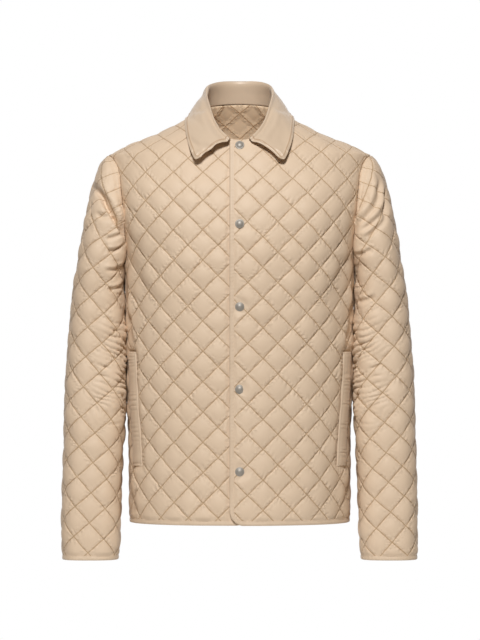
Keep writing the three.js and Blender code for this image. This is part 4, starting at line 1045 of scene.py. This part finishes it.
# The topstitch line is painted darker than the cloth: partly the thread, partly painted shade in its groove
gap = worked_out(tree, "ABSOLUTE", worked_out(tree, "SUBTRACT", far, TOPSTITCH))
links = {"Value": gap, "From Min": 0.3, "From Max": 1.2, "To Min": 1.0, "To Max": 0.0}
thread_and_groove_shade = add_node(tree, "ShaderNodeMapRange", {}, links).outputs[0]
colour = mixed(tree, thread_and_groove_shade, mottled(tree, place, 9.0, "#D0B99F", "#DAC5AD"), linear("#BFA284"))
tree.links.new(colour, shader.inputs["Base Color"])
woven(tree, shader, place, 420.0, 0.1)
mesh.materials.append(plain_shell)
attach(collar, "root")
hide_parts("collar")


# Edge tape
# A narrow strip of the shell is folded over every raw edge and stitched down through all the layers. The
# thread draws it into small ripples.
TAPE_STEP = 1.6
CUFF_STEPS = 200
HEM_STEPS = 330

# Inset from the edge and rise above the cloth, over the outside of the folded tape and back along its inside
TAPE_ROUND = (
    (7.6, -0.4), (7.2, 0.75), (6.6, 1.0), (5.9, 0.62), (5.0, 1.05), (3.2, 1.3), (1.2, 1.1), (0.1, 0.4),
    (-0.4, -0.8), (0.1, -2.0), (1.2, -2.6), (4.0, -2.8), (6.6, -2.6), (7.6, -2.2),
    (6.6, -2.2), (4.0, -2.4), (1.4, -2.2), (0.0, -0.8), (1.4, 0.7), (4.4, 0.8), (6.6, 0.4),
)


def ringed_piece(name, rings, joined=False, mirrored=False):
    """A closed skin over a row of rings, capped at both ends unless they are joined"""
    count, size = rings.shape[:2]
    numbers = np.arange(count * size).reshape(count, size)
    here, ahead = (numbers, np.roll(numbers, -1, axis=0)) if joined else (numbers[:-1], numbers[1:])
    corners = [here, ahead, np.roll(ahead, -1, axis=1), np.roll(here, -1, axis=1)]
    faces = np.stack(corners, axis=-1).reshape(-1, 4).tolist()
    if not joined:
        faces += [numbers[0].tolist(), numbers[-1][::-1].tolist()]
    places = rings.reshape(-1, 3) * (-1 if mirrored else 1, 1, 1) * MM
    mesh = bpy.data.meshes.new(name)
    mesh.from_pydata(places.tolist(), [], faces)
    bm = bmesh.new()
    bm.from_mesh(mesh)
    bmesh.ops.recalc_face_normals(bm, faces=bm.faces)
    bm.to_mesh(mesh)
    bm.free()
    mesh.polygons.foreach_set("use_smooth", np.ones(len(mesh.polygons), bool))
    return placed(name, mesh)


def tape_rings(form, outer, inner, out, seed):
    """Rings of the tape along an edge, from two lines of s and t, on the edge and 10 mm in from it"""
    along = run_of(outer)
    drift = 2.5 * uneven(along, along * 0, 25, seed)
    rings = []
    for inset, rise in TAPE_ROUND:
        flat = outer + (inner - outer) * inset / 10
        s, z = flat[:, 0], form.height(flat[:, 0], flat[:, 1])
        ripple = 0.2 * np.sin(along * 2 * math.pi / 5.6 + drift + inset * 0.25) * (rise > 0)
        swell = 0.25 * uneven(along, along * 0 + inset, 14, seed + 3)
        lift = rise + ripple + swell + out(s, z, flat[:, 1])
        rings.append(form.point(s, z) + form.way_out(s, z) * lift[:, None])
    return np.stack(rings, axis=1)


def edge_lines(path):
    """The edge and the line 10 mm in from it, divided alike into even steps"""
    along = run_of(path(0))
    share, wanted = along / along[-1], np.linspace(0, 1, int(along[-1] / TAPE_STEP))
    lines = (path(inset) for inset in (0, 10))
    return [np.column_stack([np.interp(wanted, share, line[:, k]) for k in (0, 1)]) for line in lines]


binding_tape, tree, shader = new_material(
    "binding_tape", Roughness=0.55, Sheen_Weight=0.15, Sheen_Roughness=0.4
)
place = add_node(tree, "ShaderNodeTexCoord").outputs["Object"]
tree.links.new(mottled(tree, place, 60.0, "#D2BA9F", "#DFC9B0"), shader.inputs["Base Color"])
woven(tree, shader, place, 500.0, 0.15)


def finish_tape(piece, node):
    piece.data.materials.append(binding_tape)
    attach(piece, "root")
    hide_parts(node)


for side, mirrored in (("left", False), ("right", True)):
    shape = front_shape(not mirrored, FRONT_FOLDS)
    outer, inner = edge_lines(front_edge_path)
    rings = tape_rings(front_form, outer, inner, lambda s, z, t: shape(s, z, t)[1], 41 + mirrored)
    tape = ringed_piece(f"edge_tape_{side}", rings, mirrored=mirrored)
    finish_tape(tape, f"edge_binding_{side}")
    share = np.arange(CUFF_STEPS) / CUFF_STEPS - 0.5
    lengths = [sleeve_form.length(CUFF_Z + t) for t in (0, 10)]
    outer, inner = (np.column_stack([share * n, share * 0 + t]) for n, t in zip(lengths, (0, 10)))
    rings = tape_rings(sleeve_form, outer, inner, lambda s, z, t: s * 0, 51 + mirrored)
    tape = ringed_piece(f"cuff_tape_{side}", rings, joined=True, mirrored=mirrored)
    finish_tape(tape, f"cuff_binding_{side}")
lines = []
for inset in (0.0, 10.0):
    end = float(back_form.quarter(HEM_Z + inset))
    lines.append(np.column_stack([np.linspace(-end, end, HEM_STEPS), np.full(HEM_STEPS, inset)]))
shape = back_shape(BACK_FOLDS)
rings = tape_rings(back_form, *lines, lambda s, z, t: shape(s, z, t)[1], 61)
tape = ringed_piece("hem_tape_back", rings)
finish_tape(tape, "hem_binding_back")


# Pocket welts
# Each pocket opens behind a long folded strip of the plain shell. The strip is stitched down along its
# front edge and across both ends, where the thread gathers it, and its fold lies free towards the side
# seam.
WELT_LEVELS = 130

# Share of the width from the stitched edge, and rise above the cloth, right round the folded strip
WELT_ROUND = (
    (-0.03, -0.6), (-0.01, 0.9), (0.03, 1.5), (0.08, 0.9), (0.12, 0.85), (0.18, 1.6), (0.3, 2.1),
    (0.42, 2.3), (0.54, 2.4), (0.66, 2.4), (0.78, 2.4), (0.88, 2.35), (0.95, 2.1), (0.99, 1.6),
    (1.0, 1.1), (0.98, 0.5), (0.9, 0.2), (0.5, 0), (0.1, -0.6),
)


def welt_rings(laps, seed):
    shape = front_shape(laps, FRONT_FOLDS)
    z = np.linspace(WELT_BOTTOM, WELT_TOP, WELT_LEVELS)
    ends = np.minimum(z - WELT_BOTTOM, WELT_TOP - z)
    rings = []
    for share, rise in WELT_ROUND:
        s = welt_front(z) + share * WELT_WIDTH
        drift = 3.4 * uneven(z, z * 0 + 3 * share, 16, seed)
        crease = gathers(z, 7.4, drift + share * 0.9, 0.4)
        strength = np.clip(0.55 + 0.9 * uneven(z, z * 0 + 6 * share, 15, seed + 1), 0, 1.3)
        gathered = crease * strength * (1 - 0.55 * share) * smooth_step(0.02, 0.2, share) * (rise > 0.8)
        tack = 0.8 * bell(ends - 3.0, 1.3) * (rise > 0.8) + 0.9 * smooth_step(1.5, 0, ends) * rise / 2.4
        swell = 0.5 * uneven(z, z * 0 + 9 * share, 40, seed + 2) * (rise > 0.8)
        lift = shape(s, z, z - HEM_Z)[1] + 0.9 + rise - 1.7 * gathered - tack + swell
        rings.append(front_form.point(s, z) + front_form.way_out(s, z) * lift[:, None])
    return np.stack(rings, axis=1)


for side, mirrored in (("left", False), ("right", True)):
    rings = welt_rings(not mirrored, 71 + 5 * mirrored)
    welt = ringed_piece(f"pocket_welt_{side}_cloth", rings, mirrored=mirrored)
    welt.data.materials.append(plain_shell)
    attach(welt, "root")
    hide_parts(f"pocket_welt_{side}")


# Snaps
# Each snap shows as a domed cap, stamped from thin sheet and plated in a soft grey, with a rolled rim. Its
# post goes through the cloth to the socket beneath. Radius and height, from the middle of the dome round
# the rim to the middle of the underside
CAP_ROUND = (
    (0, 3.9), (1.2, 3.85), (2.5, 3.6), (3.8, 3.1), (4.9, 2.4), (5.6, 1.75), (6.0, 1.5), (6.5, 1.6),
    (7.0, 1.4), (7.4, 0.9), (7.45, 0.4), (7.2, 0), (0, 0),
)
snap_metal, tree, shader = new_material("plated_snap_metal", Metallic=0.4, Roughness=0.5)
place = add_node(tree, "ShaderNodeTexCoord").outputs["Object"]
tree.links.new(mottled(tree, place, 900.0, "#969189", "#B4AFA7"), shader.inputs["Base Color"])

for number, height in enumerate(SNAP_HEIGHTS, 1):
    bm = bmesh.new()
    line = [bm.verts.new((r * MM, 0, h * MM)) for r, h in CAP_ROUND]
    for a, b in zip(line, line[1:]):
        bm.edges.new((a, b))
    geom = list(bm.verts) + list(bm.edges)
    bmesh.ops.spin(bm, geom=geom, cent=(0, 0, 0), axis=(0, 0, 1), angle=2 * math.pi, steps=48)
    bmesh.ops.remove_doubles(bm, verts=bm.verts, dist=1e-6)
    bmesh.ops.recalc_face_normals(bm, faces=bm.faces)
    out = Vector(front_form.way_out(np.array([0.0]), np.array([float(height)]))[0])
    here = Vector(front_form.point(0, height)[0]) + out * (LAP_OVER + 0.5)
    turn = Vector((0, 0, 1)).rotation_difference(out).to_matrix().to_4x4()
    bmesh.ops.transform(bm, matrix=Matrix.Translation(here * MM) @ turn, verts=bm.verts)
    mesh = bpy.data.meshes.new(f"snap_cap_{number}_metal")
    bm.to_mesh(mesh)
    bm.free()
    mesh.polygons.foreach_set("use_smooth", np.ones(len(mesh.polygons), bool))
    cap = placed(mesh.name, mesh)
    mesh.materials.append(snap_metal)
    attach(cap, "root")
    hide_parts(f"snap_cap_{number}")


# Stage
# A pale round floor, a broad soft light above the camera, and a dim light from all round that is brighter
# behind the jacket. The camera sees the room as plain white.
FLOOR_Z = -0.95
bm = bmesh.new()
bmesh.ops.create_circle(bm, cap_ends=True, segments=96, radius=0.85)
bmesh.ops.translate(bm, verts=bm.verts, vec=(0, 0, FLOOR_Z))
mesh = bpy.data.meshes.new("floor")
bm.to_mesh(mesh)
bm.free()
floor = placed("floor", mesh)
paper, tree, shader = new_material("white_paper", Roughness=0.9)
shader.inputs["Base Color"].default_value = linear("#F4F4F2")
mesh.materials.append(paper)

world = bpy.data.worlds.new("studio")
bpy.context.scene.world = world
world.use_nodes = True
tree = world.node_tree
backing = tree.nodes["Background"]
seen = add_node(tree, "ShaderNodeLightPath").outputs["Is Camera Ray"]
way = add_node(tree, "ShaderNodeTexCoord").outputs["Generated"]
back_of_room = add_node(tree, "ShaderNodeSeparateXYZ", {}, {"Vector": way}).outputs["Y"]
links = {"Value": back_of_room, "From Min": 0.15, "To Min": 0.145, "To Max": 1.15}
room = add_node(tree, "ShaderNodeMapRange", {"interpolation_type": "SMOOTHSTEP"}, links)
links = {"Value": seen, "To Min": room.outputs["Result"], "To Max": 1.0}
level = add_node(tree, "ShaderNodeMapRange", {}, links).outputs["Result"]
colour = mixed(tree, level, linear("#FFE7CE"), linear("#FFFFFF"))
tree.links.new(colour, backing.inputs["Color"])
tree.links.new(level, backing.inputs["Strength"])

lamp = bpy.data.lights.new("key", "AREA")
lamp.shape, lamp.size, lamp.energy = "DISK", 0.9, 190
light = placed("key", lamp)
light.location = (-0.25, -3.75, 2.45)
light.rotation_euler = (Vector((0, 0, -0.3)) - light.location).to_track_quat("-Z", "Y").to_euler()
bpy.context.scene.view_settings.view_transform = "Standard"
